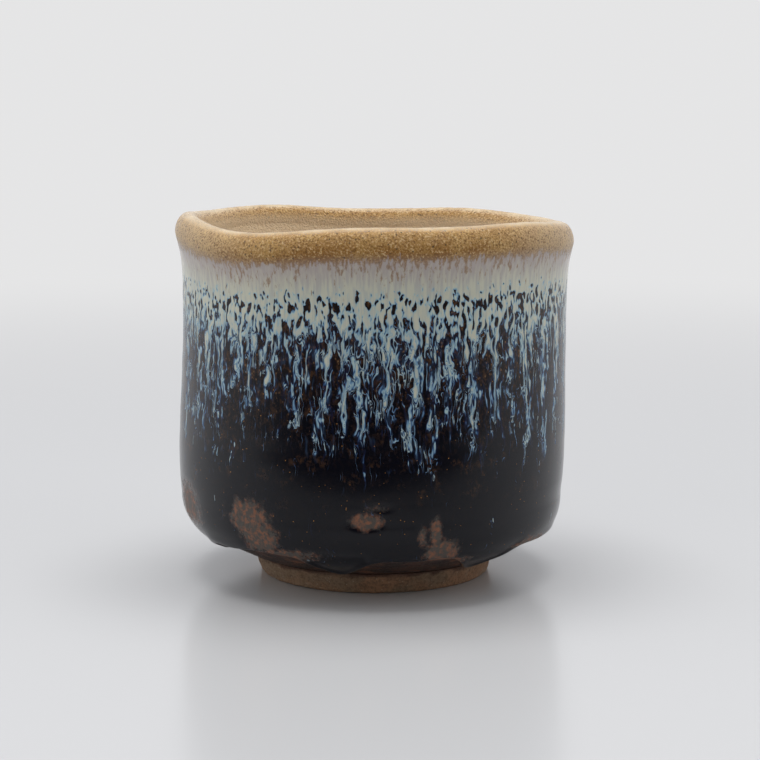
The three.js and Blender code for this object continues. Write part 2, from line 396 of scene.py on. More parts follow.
    def rim_rise(self, azimuth: Array) -> Array:
        """Gives how far the rim rises over its mean."""
        return sum(w.rise * np.cos(w.count * np.radians(azimuth - w.crest)) for w in self.rim_waves)

    def feel(self, azimuth: Array, along: Array) -> Array:
        """Gives the lumps and throwing rings that all coats share."""
        lumps, rings = self.lumps.at(azimuth, along), self.rings.at(azimuth, along)
        return self.lump_depth * lumps + self.ring_depth * rings

    def place(self, azimuth: Array, along: Array, lift: Array | float) -> Array:
        """Places points on the cup.

        Args:
            azimuth: Azimuths in degrees.
            along: Places along the section.
            lift: How far each is lifted off the clay.

        Returns:
            Their coordinates in metres.
        """
        out, up = (np.interp(along, self.arc, self.normal[:, axis]) for axis in (0, 1))
        radius = np.interp(along, self.arc, self.curve[:, 0]) + lift * out
        return self.by_hand(azimuth, radius, self.height(along) + lift * up)

    def by_hand(self, azimuth: Array, radius: Array, height: Array) -> Array:
        """Moves a turned shape as the potter's hand did.

        Args:
            azimuth: Azimuths in degrees.
            radius: Radii of the turned shape.
            height: Heights of the turned shape.

        Returns:
            Coordinates in metres.
        """
        turn = np.radians(azimuth)
        climb = ease(height, self.belly_height, self.rim_height)
        waist = self.rim_height - self.waist_drop
        lean = ease(height, self.foot_height, self.hip_height) * (1 - ease(height, self.hip_height, waist))
        radius = np.maximum(radius, 0) * (1 - climb * self.mouth_oval / self.lip_radius * np.cos(2 * turn))
        x = radius * np.sin(turn) - self.belly_lean * lean
        return np.stack((x, -radius * np.cos(turn), height + climb * self.rim_rise(azimuth)), 1) * MM


FORM = CupForm()


@dataclass(frozen=True)
class Run:
    """One run of straw-ash glaze.

    Args:
        azimuth: Where it hangs.
        tip: Height of its end.
        half_width: Half its width.
    """

    azimuth: float
    tip: float
    half_width: float


@dataclass(frozen=True)
class Pour:
    """How the straw-ash glaze was poured and how far it ran.

    Args:
        front: Runs seen from the front.
        spacing: Mean degrees between runs elsewhere.
        seed: Seed of those runs.
        tips: Range of their ends' heights.
        half_widths: Range of half their widths.
        heights: Heights at which the fullness is told.
        held: Fullness there in the middle of a run.
        loose: Fullness there between runs.
    """

    front: tuple[Run, ...] = (
        Run(-84, 24.0, 1.3), Run(-71, 22.4, 1.1), Run(-62, 25.0, 1.3), Run(-56, 24.6, 1.0),
        Run(-49, 27.0, 1.2), Run(-42, 33.5, 1.2), Run(-36, 31.0, 0.8), Run(-29, 32.5, 0.8),
        Run(-22, 28.5, 1.2), Run(-14.5, 24.6, 1.3), Run(-8, 27.0, 0.9), Run(-2, 21.6, 1.1),
        Run(4.6, 27.4, 0.9), Run(10.5, 22.0, 1.1), Run(15.4, 20.6, 1.0), Run(21, 28.5, 1.3),
        Run(29, 21.2, 1.3), Run(37, 26.0, 1.3), Run(43, 29.0, 1.0), Run(50, 21.6, 1.2),
        Run(58.5, 19.4, 1.2), Run(66, 23.0, 1.3), Run(76, 21.5, 1.2), Run(87, 24.0, 1.3),
    )
    spacing: float = 7.4
    seed: int = 11
    tips: Span = (20, 29)
    half_widths: Span = (0.8, 1.4)
    heights: tuple[float, ...] = (17, 24, 30, 36, 41, 44.5, 46.2, 47.8, 50)
    held: tuple[float, ...] = (-0.17, -0.08, -0.06, -0.01, 0.045, 0.08, 0.08, 0.21, 0.6)
    loose: tuple[float, ...] = (-0.4, -0.3, -0.25, -0.2, -0.055, 0.05, 0.065, 0.2, 0.6)
    wall_radius: float = 30.8
    tip_reach: Span = (-0.6, 4.5)
    tip_end: float = 0.8
    sway: Unevenness = Unevenness(21, 9.0, 6.0)
    sway_turn: float = 2.2
    swaying: Span = (46.0, 34.0)
    patches: Unevenness = Unevenness(23, 3.0, 8.0)
    patch_depth: float = 0.05

    @cached_property
    def runs(self) -> tuple[Run, ...]:
        """All runs round the cup.

        Returns:
            Those in front, then those drawn at random.
        """
        rng = np.random.default_rng(self.seed)
        start, stop = self.front[-1].azimuth, self.front[0].azimuth + 360
        count = round((stop - start) / self.spacing)
        turns = start + (np.arange(1, count) + rng.uniform(-0.3, 0.3, count - 1)) * (stop - start) / count
        more = [Run(turn, rng.uniform(*self.tips), rng.uniform(*self.half_widths)) for turn in turns]
        return self.front + tuple(more)

    def width(self, azimuth: Array, along: Array) -> Array:
        """Works out how full the pale glaze is.

        Args:
            azimuth: Azimuths in degrees.
            along: Places along the section, on the outer side.

        Returns:
            The fullness: 0 where pale and dark are alike, negative where the glaze has not run.
        """
        height = np.where(along > FORM.crest, FORM.rim_height, FORM.height(along))
        swayed = azimuth + self.sway_turn * self.sway.at(azimuth, along) * ease(height, *self.swaying)
        per_degree = math.radians(self.wall_radius)
        blend = np.zeros_like(height)
        for run in self.runs:
            off = around(swayed, run.azimuth) * per_degree / run.half_width
            end = 0.5 + 0.5 * ease(height - run.tip, *self.tip_reach)
            blend = np.maximum(blend, np.exp(-off ** 2) * end * (height > run.tip - self.tip_end))
        held = np.interp(height, self.heights, self.held)
        loose = np.interp(height, self.heights, self.loose)
        return loose + (held - loose) * blend + self.patch_depth * self.patches.at(azimuth, along)


POUR = Pour()


@dataclass(frozen=True)
class FingerMark:
    """A bare place left by the dipping grip.

    Args:
        azimuth: Where it is.
        height: Its height above the table.
        across: Half its width.
        tall: Half its height.
        strength: How bare it is.
    """

    azimuth: float
    height: float
    across: float
    tall: float
    strength: float = 1.0


FINGER_MARKS = (
    FingerMark(-70, 12.8, 4.6, 3.8), FingerMark(-37, 13.2, 3.8, 2.8), FingerMark(-34, 10.6, 3.6, 2.6),
    FingerMark(-27, 8.4, 6.0, 1.2, 0.95), FingerMark(-1.4, 13.9, 2.1, 1.15, 1.3),
    FingerMark(2, 15.9, 2.0, 0.7, 0.65), FingerMark(14.5, 11.4, 0.8, 1.7, 0.8),
    FingerMark(18.6, 11.8, 1.0, 2.4), FingerMark(20.5, 9.0, 2.8, 2.2), FingerMark(25, 7.7, 4.6, 0.9, 0.85),
    FingerMark(58, 8.2, 5.6, 1.3, 0.9), FingerMark(166, 12.8, 4.2, 3.0), FingerMark(171, 9.4, 3.4, 2.6),
)
MARKED_RADIUS = 30.0
MARK_FALL = 0.7


def mark_strength(azimuth: Array, along: Array) -> Array:
    """Works out how bare the finger marks are.

    Args:
        azimuth: Azimuths in degrees.
        along: Places along the section.

    Returns:
        1 in the middle of a mark, falling to 0 well outside it.
    """
    bare = np.zeros_like(along)
    for mark in FINGER_MARKS:
        across = around(azimuth, mark.azimuth) * math.radians(MARKED_RADIUS) / mark.across
        tall = (along - FORM.outside(mark.height)) / mark.tall
        bare = np.maximum(bare, mark.strength * np.exp(-MARK_FALL * (across ** 2 + tall ** 2)))
    return bare


@dataclass(frozen=True)
class Lobe:
    """A place where the black glaze hangs lower.

    Args:
        azimuth: Where it is.
        drop: How much lower it hangs.
        spread: Its half width in degrees.
    """

    azimuth: float
    drop: float
    spread: float


LOBES = (
    Lobe(-74, 2.3, 9), Lobe(-12, 3.1, 8), Lobe(38, 3.1, 9), Lobe(96, 2.2, 12), Lobe(140, 2.9, 9),
    Lobe(186, 2.1, 10), Lobe(232, 2.8, 12),
)


class NodeBench:
    """Lays out shader nodes and joins them."""

    def __init__(self, tree: bpy.types.NodeTree) -> None:
        """Starts on an emptied tree."""
        self.tree = tree
        tree.nodes.clear()

    def node(self, kind: str, **settings: object) -> bpy.types.Node:
        """Adds a node.

        Args:
            kind: The node's type name.
            **settings: Properties to set on it.

        Returns:
            The node.
        """
        row, column = divmod(len(self.tree.nodes), 12)
        made = self.tree.nodes.new(kind)
        made.location = (220 * column, -180 * row)
        for key, value in settings.items():
            setattr(made, key, value)
        return made

    def feed(self, socket: Socket, value: object) -> None:
        """Feeds a socket from another socket or with a constant.

        Args:
            socket: The input.
            value: An output socket, a number, a vector or a colour.
        """
        if isinstance(value, bpy.types.NodeSocket):
            self.tree.links.new(value, socket)
        elif socket.type == "RGBA":
            socket.default_value = (*value, 1.0)
        else:
            socket.default_value = value

    def math(self, operation: str, *values: object, clamp: bool = False) -> Socket:
        """Adds a Math node.

        Args:
            operation: Its operation.
            *values: Its inputs in order.
            clamp: Whether the result stays between 0 and 1.

        Returns:
            Its output.
        """
        made = self.node("ShaderNodeMath", operation=operation, use_clamp=clamp)
        for socket, value in zip(made.inputs, values):
            self.feed(socket, value)
        return made.outputs[0]

    def times(self, first: object, second: object) -> Socket:
        """Multiplies two values."""
        return self.math("MULTIPLY", first, second)

    def minus(self, first: object, second: object) -> Socket:
        """Takes the second value from the first."""
        return self.math("SUBTRACT", first, second)

    def nudged(self, value: object, noise: Socket, amount: float) -> Socket:
        """Moves a value up and down with a noise."""
        return self.math("MULTIPLY_ADD", self.minus(noise, 0.5), amount, value)

    def vector(self, operation: str, *values: object) -> Socket:
        """Adds a Vector Math node.

        Args:
            operation: Its operation.
            *values: Its inputs in order.

        Returns:
            Its vector output.
        """
        made = self.node("ShaderNodeVectorMath", operation=operation)
        for socket, value in zip(made.inputs, values):
            self.feed(socket, value)
        return made.outputs[0]

    def length(self, vector: Socket) -> Socket:
        """Measures a vector.

        Args:
            vector: The vector.

        Returns:
            Its length.
        """
        made = self.node("ShaderNodeVectorMath", operation="LENGTH")
        self.feed(made.inputs[0], vector)
        return made.outputs["Value"]

    def parts(self, vector: Socket) -> list[Socket]:
        """Splits a vector.

        Args:
            vector: The vector.

        Returns:
            Its X, Y and Z.
        """
        made = self.node("ShaderNodeSeparateXYZ")
        self.feed(made.inputs[0], vector)
        return list(made.outputs)

    def texture(self, kind: str, place: Socket, across: float, tall: float) -> bpy.types.Node:
        """Adds a texture.

        Args:
            kind: The node's type name.
            place: Where to read it.
            across: Lumps per unit in X and Y.
            tall: Lumps per unit in Z.

        Returns:
            The node.
        """
        made = self.node(kind)
        self.feed(made.inputs["Vector"], self.vector("MULTIPLY", place, (across, across, tall)))
        self.feed(made.inputs["Scale"], 1.0)
        return made

    def noise(
        self, place: Socket, across: float, tall: float, detail: float = 2.0, roughness: float = 0.5,
    ) -> Socket:
        """Adds noise.

        Args:
            place: Where to read it.
            across: Lumps per unit in X and Y.
            tall: Lumps per unit in Z.
            detail: Finer layers.
            roughness: How strong these are.

        Returns:
            The noise, from 0 to 1.
        """
        made = self.texture("ShaderNodeTexNoise", place, across, tall)
        self.feed(made.inputs["Detail"], detail)
        self.feed(made.inputs["Roughness"], roughness)
        return made.outputs["Fac"]

    def sway(self, place: Socket, across: float, tall: float) -> Socket:
        """Adds three noises around 0, to bend a place with.

        Args:
            place: Where to read them.
            across: Lumps per unit in X and Y.
            tall: Lumps per unit in Z.

        Returns:
            The three as a vector.
        """
        made = self.texture("ShaderNodeTexNoise", place, across, tall)
        self.feed(made.inputs["Detail"], 1.0)
        return self.vector("SUBTRACT", made.outputs["Color"], (0.5, 0.5, 0.5))

    def cells(self, place: Socket, across: float, tall: float) -> Socket:
        """Adds cells and returns the distance to the nearest cell's middle."""
        return self.texture("ShaderNodeTexVoronoi", place, across, tall).outputs["Distance"]

    def span(self, value: Socket, start: float, stop: float, low: float = 0.0, high: float = 1.0) -> Socket:
        """Goes softly from low to high as a value goes from start to stop.

        Args:
            value: The value.
            start: Where the result is low.
            stop: Where the result is high.
            low: The first result.
            high: The last result.

        Returns:
            The eased value.
        """
        made = self.node("ShaderNodeMapRange", interpolation_type="SMOOTHSTEP")
        for socket, given in zip(made.inputs, (value, start, stop, low, high)):
            self.feed(socket, given)
        return made.outputs[0]

    def ramp(self, value: Socket, stops: list[tuple[float, Colour]]) -> Socket:
        """Adds a colour ramp.

        Args:
            value: The value, from 0 to 1.
            stops: Places and colours.

        Returns:
            The colour.
        """
        made = self.node("ShaderNodeValToRGB")
        elements = made.color_ramp.elements
        while len(elements) < len(stops):
            elements.new(0.5)
        for element, (place, colour) in zip(elements, stops):
            element.position = place
            element.color = (*colour, 1.0)
        self.feed(made.inputs[0], value)
        return made.outputs[0]

    def mix(self, share: object, first: object, second: object) -> Socket:
        """Mixes two colours.

        Args:
            share: Share of the second.
            first: The first colour.
            second: The second colour.

        Returns:
            The mixed colour.
        """
        made = self.node("ShaderNodeMix", data_type="RGBA")
        for index, value in ((0, share), (6, first), (7, second)):
            self.feed(made.inputs[index], value)
        return made.outputs[2]

    def attribute(self, name: str) -> Socket:
        """Reads a number that the mesh carries."""
        return self.node("ShaderNodeAttribute", attribute_name=name).outputs["Fac"]

    def millimetres(self) -> Socket:
        """Gives the place on the piece in millimetres."""
        coordinate = self.node("ShaderNodeTexCoord").outputs["Object"]
        return self.vector("MULTIPLY", coordinate, (1 / MM, 1 / MM, 1 / MM))

    def bump(self, height: Socket, depth: float, over: Socket | None = None) -> Socket:
        """Adds a bump.

        Args:
            height: The height, from 0 to 1.
            depth: Its depth in millimetres.
            over: A bump that lies under it.

        Returns:
            The normal.
        """
        made = self.node("ShaderNodeBump")
        self.feed(made.inputs["Distance"], depth * MM)
        self.feed(made.inputs["Height"], height)
        if over is not None:
            self.feed(made.inputs["Normal"], over)
        return made.outputs[0]

    def shader(self, kind: str, **values: object) -> bpy.types.Node:
        """Adds a shader.

        Args:
            kind: The node's type name.
            **values: Its inputs by name, with underscores for spaces.

        Returns:
            The node.
        """
        made = self.node(kind)
        for name, value in values.items():
            self.feed(made.inputs[name.replace("_", " ")], value)
        return made

    def end(self, shader: bpy.types.Node, kind: str = "ShaderNodeOutputMaterial") -> None:
        """Ends the tree in a shader."""
        self.tree.links.new(shader.outputs[0], self.node(kind).inputs["Surface"])

    def surface(self, colour: Socket, roughness: Socket, normal: Socket, **others: object) -> None:
        """Ends the tree in a principled surface, with other inputs by name."""
        inputs = {"Base_Color": colour, "Roughness": roughness, "Normal": normal, **others}
        self.end(self.shader("ShaderNodeBsdfPrincipled", **inputs))

    def blended(self, share: Socket, first: bpy.types.Node, second: bpy.types.Node) -> bpy.types.Node:
        """Blends two shaders.

        Args:
            share: Share of the second.
            first: The first shader.
            second: The second shader.

        Returns:
            The blend.
        """
        made = self.node("ShaderNodeMixShader")
        for socket, value in zip(made.inputs, (share, first.outputs[0], second.outputs[0])):
            self.feed(socket, value)
        return made


def new_material(name: str) -> tuple[bpy.types.Material, NodeBench]:
    """Starts a material.

    Args:
        name: Its name.

    Returns:
        The material and the bench for its nodes.
    """
    material = bpy.data.materials.new(name)
    material.use_nodes = True
    return material, NodeBench(material.node_tree)


@dataclass(frozen=True)
class SandyClay:
    """Bare stoneware: gritty, brown, stained by the wash where foot and body meet."""

    dark: Colour = tone(114, 92, 72)
    body: Colour = tone(152, 126, 100)
    warm: Colour = tone(172, 130, 98)
    grit: Colour = tone(200, 184, 160)
    stain: Colour = tone(84, 56, 44)
    stain_heights: Span = (2.5, 3.3)
    stain_radii: Span = (15.6, 16.6)
    stain_smear: float = 1.8
    ring_depth: float = 0.12
    grain_depth: float = 0.25

    def material(self) -> bpy.types.Material:
        """Builds the material.

        Returns:
            The material.
        """
        material, bench = new_material("sandy_clay")
        place = bench.millimetres()
        clouds = bench.noise(place, 0.18, 0.3, 3)
        grain = bench.noise(place, 2.4, 2.4, 4, 0.65)
        rings = bench.noise(place, 0.2, 2.8)
        colour = bench.mix(bench.span(clouds, 0.4, 0.66), self.body, self.warm)
        colour = bench.mix(bench.span(grain, 0.58, 0.34, 0.0, 0.75), colour, self.dark)
        colour = bench.mix(bench.span(bench.cells(place, 1.5, 1.5), 0.17, 0.1, 0.0, 0.6), colour, self.grit)
        height = bench.nudged(bench.parts(place)[2], bench.noise(place, 0.35, 1.4, 3), self.stain_smear)
        radius = bench.length(bench.vector("MULTIPLY", place, (1.0, 1.0, 0.0)))
        washed = bench.span(height, *self.stain_heights, 0.0, 0.9)
        washed = bench.times(washed, bench.span(radius, *self.stain_radii))
        colour = bench.mix(washed, colour, self.stain)
        normal = bench.bump(grain, self.grain_depth, bench.bump(rings, self.ring_depth))
        bench.surface(colour, bench.span(grain, 0.3, 0.7, 0.95, 0.75), normal)
        return material


@dataclass(frozen=True)
class RustWash:
    """Thin iron wash, dark brown with rust where it broke, worn in the finger marks."""

    dark: Colour = tone(40, 26, 22)
    brown: Colour = tone(76, 48, 36)
    rust: Colour = tone(122, 78, 54)
    worn: Colour = tone(158, 110, 88)
    grain_depth: float = 0.12

    def material(self) -> bpy.types.Material:
        """Builds the material.

        Returns:
            The material.
        """
        material, bench = new_material("rust_wash")
        place = bench.millimetres()
        bands = bench.noise(place, 0.25, 1.8, 3)
        broken = bench.noise(place, 0.4, 0.9, 3)
        grain = bench.noise(place, 2.6, 2.6, 3, 0.6)
        worn = bench.nudged(bench.attribute("mark"), grain, 0.9)
        colour = bench.mix(bench.span(bands, 0.42, 0.62), self.dark, self.brown)
        colour = bench.mix(bench.span(broken, 0.54, 0.7), colour, self.rust)
        colour = bench.mix(bench.span(worn, 0.15, 0.6, 0.0, 0.9), colour, self.worn)
        colour = bench.mix(bench.span(grain, 0.55, 0.3, 0.0, 0.6), colour, self.dark)
        bench.surface(colour, bench.span(grain, 0.3, 0.7, 0.5, 0.72), bench.bump(grain, self.grain_depth))
        return material


@dataclass(frozen=True)
class ThreadPattern:
    """The pale threads of the straw-ash glaze: round pits high up, parting into threads lower down.

    Args:
        waving: Heights between which the threads begin to wave.
        waves: How far the wide waves carry a thread.
        curls: How far the small waves carry it.
        close: Threads per millimetre across.
        long: Threads per millimetre along.
        squeeze_from: Height above which they shorten into pits.
        squeeze: How fast they do.
        pitted: Heights between which the pits grow round.
        fading: Heights between which the threads' edges soften.
        looping: Heights between which thin loops and strands appear.
    """

    waving: Span = (46.0, 38.0)
    waves: tuple[float, float, float] = (2.0, 2.0, 4.0)
    curls: tuple[float, float, float] = (0.8, 0.8, 0.6)
    close: float = 1.85
    long: float = 0.2
    squeeze_from: float = 37.0
    squeeze: float = 0.034
    pitted: Span = (38.5, 46.0)
    fading: Span = (46.0, 37.0)
    looping: Span = (46.5, 38.5)

    def flow(self, bench: NodeBench, place: Socket) -> tuple[Socket, Socket]:
        """Bends the place as the glaze flowed.

        Args:
            bench: The bench.
            place: The place in millimetres.

        Returns:
            The bent place, and the same with threads about one unit wide.
        """
        free = bench.span(bench.parts(place)[2], *self.waving, 0.3, 1.0)
        wide = bench.vector("MULTIPLY", bench.sway(place, 0.36, 0.22), free)
        bent = bench.vector("MULTIPLY_ADD", wide, self.waves, place)
        bent = bench.vector("MULTIPLY_ADD", bench.sway(place, 0.9, 0.55), self.curls, bent)
        x, y, z = bench.parts(bent)
        above = bench.math("MAXIMUM", bench.minus(z, self.squeeze_from), 0.0)
        squared, along = bench.times(above, above), bench.times(z, self.long)
        shortened = bench.math("MULTIPLY_ADD", squared, self.squeeze, along)
        scaled = bench.node("ShaderNodeCombineXYZ")
        values = (bench.times(x, self.close), bench.times(y, self.close), shortened)
        for socket, value in zip(scaled.inputs, values):
            bench.feed(socket, value)
        return bent, scaled.outputs[0]

    def draw(self, bench: NodeBench, place: Socket, pour: Socket, streak: Socket) -> Socket:
        """Draws the threads.

        Args:
            bench: The bench.
            place: The place in millimetres.
            pour: How full the pale glaze is.
            streak: Upright streaks.

        Returns:
            How deep inside a thread the place is: 0 in a cell, a quarter at an edge, more in a core.
        """
        bent, scaled = self.flow(bench, place)
        height = bench.parts(bent)[2]
        depth = bench.minus(bench.math("ADD", pour, 0.5), bench.noise(scaled, 1.0, 1.0, 1, 0.45))
        depth = bench.nudged(depth, streak, 0.1)
        pits = bench.minus(bench.math("MULTIPLY_ADD", depth, 0.6, bench.cells(scaled, 0.6, 0.76)), 0.52)
        high = bench.span(height, *self.pitted, 0.0, 0.42)
        depth = bench.math("ADD", bench.times(depth, bench.minus(1.0, high)), bench.times(pits, high))

        softness = bench.span(height, *self.fading, 13.0, 4.4)
        outer = bench.math("MULTIPLY_ADD", bench.math("MINIMUM", depth, 0.0), softness, 0.25)
        tongues = bench.math("MULTIPLY_ADD", bench.math("MAXIMUM", depth, 0.0), 2.7, outer)
        low = bench.span(height, *self.looping, 0.15, 1.0)
        groove = bench.span(bench.math("ABSOLUTE", bench.minus(depth, 0.1)), 0.026, 0.004, 0.0, 0.26)
        tongues = bench.minus(tongues, bench.times(groove, low))

        patches = bench.noise(place, 0.6, 0.3, 1)
        ringed = bench.times(bench.span(patches, 0.5, 0.6, 0.05, 0.6), low)
        off_loop = bench.math("ABSOLUTE", bench.math("ADD", depth, 0.085))
        loops = bench.minus(ringed, bench.times(off_loop, 14.0))
        elsewhere = bench.vector("ADD", bent, (31.0, 17.0, 5.0))
        off_strand = bench.math("ABSOLUTE", bench.minus(bench.noise(elsewhere, 1.5, 0.2, 1, 0.4), 0.5))
        finest = bench.times(bench.span(bench.nudged(pour, patches, 1.0), -0.4, 0.1, -0.1, 0.58), low)
        strands = bench.minus(finest, bench.times(off_strand, 14.0))
        haze = bench.times(bench.span(depth, -0.3, -0.04, 0.0, 0.075), low)
        threads = bench.math("MAXIMUM", bench.math("MAXIMUM", tongues, loops), strands)
        return bench.math("MAXIMUM", threads, haze, clamp=True)


@dataclass(frozen=True)
class AmberLip:
    """Sandy amber glaze on the lip, with a painted sheen at the left and right sides and a painted highlight
    on and towards the crest.

    Args:
        highlight_top: Drops between which a painted highlight makes it lighter towards the crest.
        dark_foot: Drops between which it grows darker towards its lower edge.
        sheen_flanks: Distances to the left and right between which a painted sheen makes it paler.
        inner_side: Drops between which it turns into the glaze inside.
        crest_highlight_band: Distances from the crest between which a painted highlight is laid.
    """

    amber: Colour = tone(164, 114, 50)
    dark: Colour = tone(116, 78, 32)
    light: Colour = tone(198, 154, 86)
    glint: Colour = tone(218, 186, 132)
    # Colour of the painted sheen on the left and right sides.
    flank_sheen: Colour = tone(216, 186, 144)
    pit: Colour = tone(62, 44, 26)
    # Colour of the painted highlight along the crest.
    crest: Colour = tone(226, 204, 168)
    inner: Colour = tone(236, 212, 176)
    highlight_top: Span = (4.0, 1.2)
    dark_foot: Span = (2.2, 5.0)
    sheen_flanks: Span = (16.0, 30.0)
    inner_side: Span = (-1.2, -3.0)
    crest_highlight_band: Span = (1.1, 0.3)

    def colour(self, bench: NodeBench, place: Socket, grain: Socket, drop: Socket) -> Socket:
        """Colours the lip.

        Args:
            bench: The bench.
            place: The place in millimetres.
            grain: Fine grain.
            drop: Distance below the crest, negative inside.

        Returns:
            The colour.
        """
        clouds = bench.noise(place, 0.22, 0.3, 3)
        side = bench.math("ABSOLUTE", bench.parts(place)[0])
        colour = bench.mix(bench.span(clouds, 0.35, 0.7), self.amber, self.light)
        # Painted highlight: the lip grows lighter towards the crest.
        colour = bench.mix(bench.span(drop, *self.highlight_top, 0.0, 0.6), colour, self.light)
        colour = bench.mix(bench.span(drop, *self.dark_foot, 0.0, 0.35), colour, self.dark)
        # Painted sheen: paler towards the left and right sides.
        colour = bench.mix(bench.span(side, *self.sheen_flanks, 0.0, 0.8), colour, self.flank_sheen)
        colour = bench.mix(bench.span(grain, 0.5, 0.36, 0.0, 0.85), colour, self.dark)
        colour = bench.mix(bench.span(grain, 0.54, 0.65), colour, self.glint)
        colour = bench.mix(bench.span(bench.cells(place, 0.9, 0.9), 0.17, 0.09, 0.0, 0.85), colour, self.pit)
        colour = bench.mix(bench.span(drop, *self.inner_side, 0.0, 0.8), colour, self.inner)
        # Painted highlight: a pale band along the crest, broken up by the clouds.
        off_crest = bench.math("ABSOLUTE", bench.math("ADD", bench.nudged(drop, grain, 1.4), 0.1))
        worn = bench.span(off_crest, *self.crest_highlight_band)
        worn = bench.times(worn, bench.span(clouds, 0.38, 0.62, 0.5, 0.85))
        return bench.mix(worn, colour, self.crest)


@dataclass(frozen=True)
class PouredGlazes:
    """Amber lip, straw-ash glaze in runs and black base glaze, which melt into one another.

    The meshes carry drop, the distance below the crest, pour, the fullness of the pale glaze, mark, the
    bareness of the finger marks, and edge, the distance from the black glaze's lower edge.

    Args:
        cooling: Drops between which the threads turn from cream to blue.
        browning: Drops between which the cells turn brown.
        blackening: Drops between which the cells turn black.
        smoke_top: Drops between which brown clouds begin.
        smoke_foot: Drops between which they end.
        grainy: Drops between which pale grains appear in the cells.
        lip_end: Drops between which the lip breaks up.
        lip_fade: How much less of it is left with each millimetre below.
        flecking: Drops between which its flecks lose their amber.
        veiled: Drops between which a lilac veil covers the cream.
        thin_edge: Distances from the lower edge between which the black is thin.
        sandy: Drops between which the surface turns sandy.
        smooth_crest: Distances from the crest between which the sand is worn smooth.
        raised: Drops between which the threads stand up.
        shiny: Drops between which the lip's shine grows.
    """

    threads: ThreadPattern = ThreadPattern()
    lip: AmberLip = AmberLip()
    cream: Colour = tone(202, 202, 184)
    pale: Colour = tone(174, 198, 200)
    sky: Colour = tone(112, 150, 180)
    blue: Colour = tone(58, 88, 130)
    navy: Colour = tone(25, 34, 68)
    black: Colour = tone(9, 10, 19)
    cell: Colour = tone(30, 24, 24)
    umber: Colour = tone(84, 58, 38)
    tan: Colour = tone(132, 100, 70)
    lilac: Colour = tone(178, 166, 162)
    fleck: Colour = tone(154, 134, 118)
    gold: Colour = tone(190, 132, 64)
    rust: Colour = tone(142, 94, 70)
    smoke: Colour = tone(84, 78, 72)
    cooling: Span = (10.0, 26.0)
    browning: Span = (36.0, 14.0)
    blackening: Span = (14.0, 30.0)
    smoke_top: Span = (22.0, 28.0)
    smoke_foot: Span = (44.0, 37.0)
    grainy: Span = (34.0, 18.0)
    lip_end: Span = (5.6, 2.7)
    lip_fade: float = 0.034
    flecking: Span = (3.0, 5.5)
    veiled: Span = (9.8, 4.8)
    thin_edge: Span = (0.7, 0.0)
    sandy: Span = (6.0, 3.6)
    smooth_crest: Span = (0.2, 1.6)
    raised: Span = (5.0, 12.0)
    shiny: Span = (4.0, 2.0)
    thread_depth: float = 0.1
    sand_depth: float = 0.3
    bare_depth: float = 0.1

    def threaded(
        self, bench: NodeBench, place: Socket, drop: Socket, share: Socket, streak: Socket,
    ) -> Socket:
        """Colours the threads.

        Args:
            bench: The bench.
            place: The place in millimetres.
            drop: Distance below the crest.
            share: How deep inside a thread the place is.
            streak: Upright streaks.

        Returns:
            The colour.
        """
        glow = bench.span(bench.noise(place, 0.5, 0.2), 0.3, 0.7, -0.1, 0.1)
        cool = bench.math("ADD", bench.span(drop, *self.cooling), glow, clamp=True)
        tones = (self.navy, self.blue, self.sky, self.pale, self.cream)
        creamy = bench.ramp(share, list(zip((0.1, 0.19, 0.27, 0.37, 0.52), tones)))
        bluish = bench.ramp(share, list(zip((0.1, 0.19, 0.29, 0.42, 0.72), tones)))
        return bench.mix(bench.span(streak, 0.4, 0.56, 0.2, 0.0), bench.mix(cool, creamy, bluish), self.sky)

    def cells(self, bench: NodeBench, place: Socket, drop: Socket, mottle: Socket) -> Socket:
        """Colours the dark cells between the threads.

        Args:
            bench: The bench.
            place: The place in millimetres.
            drop: Distance below the crest.
            mottle: Coarse mottle.

        Returns:
            The colour.
        """
        brown = bench.times(bench.span(mottle, 0.46, 0.66), bench.span(drop, *self.browning, 0.05, 0.8))
        smoky = bench.span(bench.noise(place, 0.42, 0.42, 3, 0.6), 0.53, 0.68)
        within = bench.times(bench.span(drop, *self.smoke_top), bench.span(drop, *self.smoke_foot, 0.0, 0.45))
        smoky = bench.times(bench.times(smoky, within), bench.span(mottle, 0.4, 0.6))
        colour = bench.mix(bench.span(drop, *self.blackening), self.cell, self.black)
        colour = bench.mix(bench.math("MAXIMUM", brown, smoky), colour, self.umber)
        grains = bench.span(bench.cells(place, 1.7, 1.3), 0.3, 0.12)
        grains = bench.times(grains, bench.span(drop, *self.grainy, 0.0, 0.75))
        colour = bench.mix(bench.times(grains, bench.span(mottle, 0.44, 0.56)), colour, self.tan)
        specks = bench.span(bench.cells(place, 1.2, 1.2), 0.11, 0.06)
        return bench.mix(bench.times(specks, bench.span(mottle, 0.48, 0.6)), colour, self.gold)

    def material(self) -> bpy.types.Material:
        """Builds the material.

        Returns:
            The material.
        """
        material, bench = new_material("poured_glazes")
        place = bench.millimetres()
        drop, pour, mark, edge = (bench.attribute(name) for name in ("drop", "pour", "mark", "edge"))
        streak = bench.noise(place, 2.3, 0.2, 2, 0.55)
        flecks = bench.noise(place, 1.7, 0.5, 4, 0.65)
        grain = bench.noise(place, 3.2, 3.2, 3, 0.65)
        mottle = bench.noise(place, 1.8, 1.2, 4, 0.65)
        share = self.threads.draw(bench, place, pour, streak)
        cells = self.cells(bench, place, drop, mottle)
        threads = self.threaded(bench, place, drop, share, streak)
        colour = bench.mix(bench.span(share, 0.02, 0.14), cells, threads)

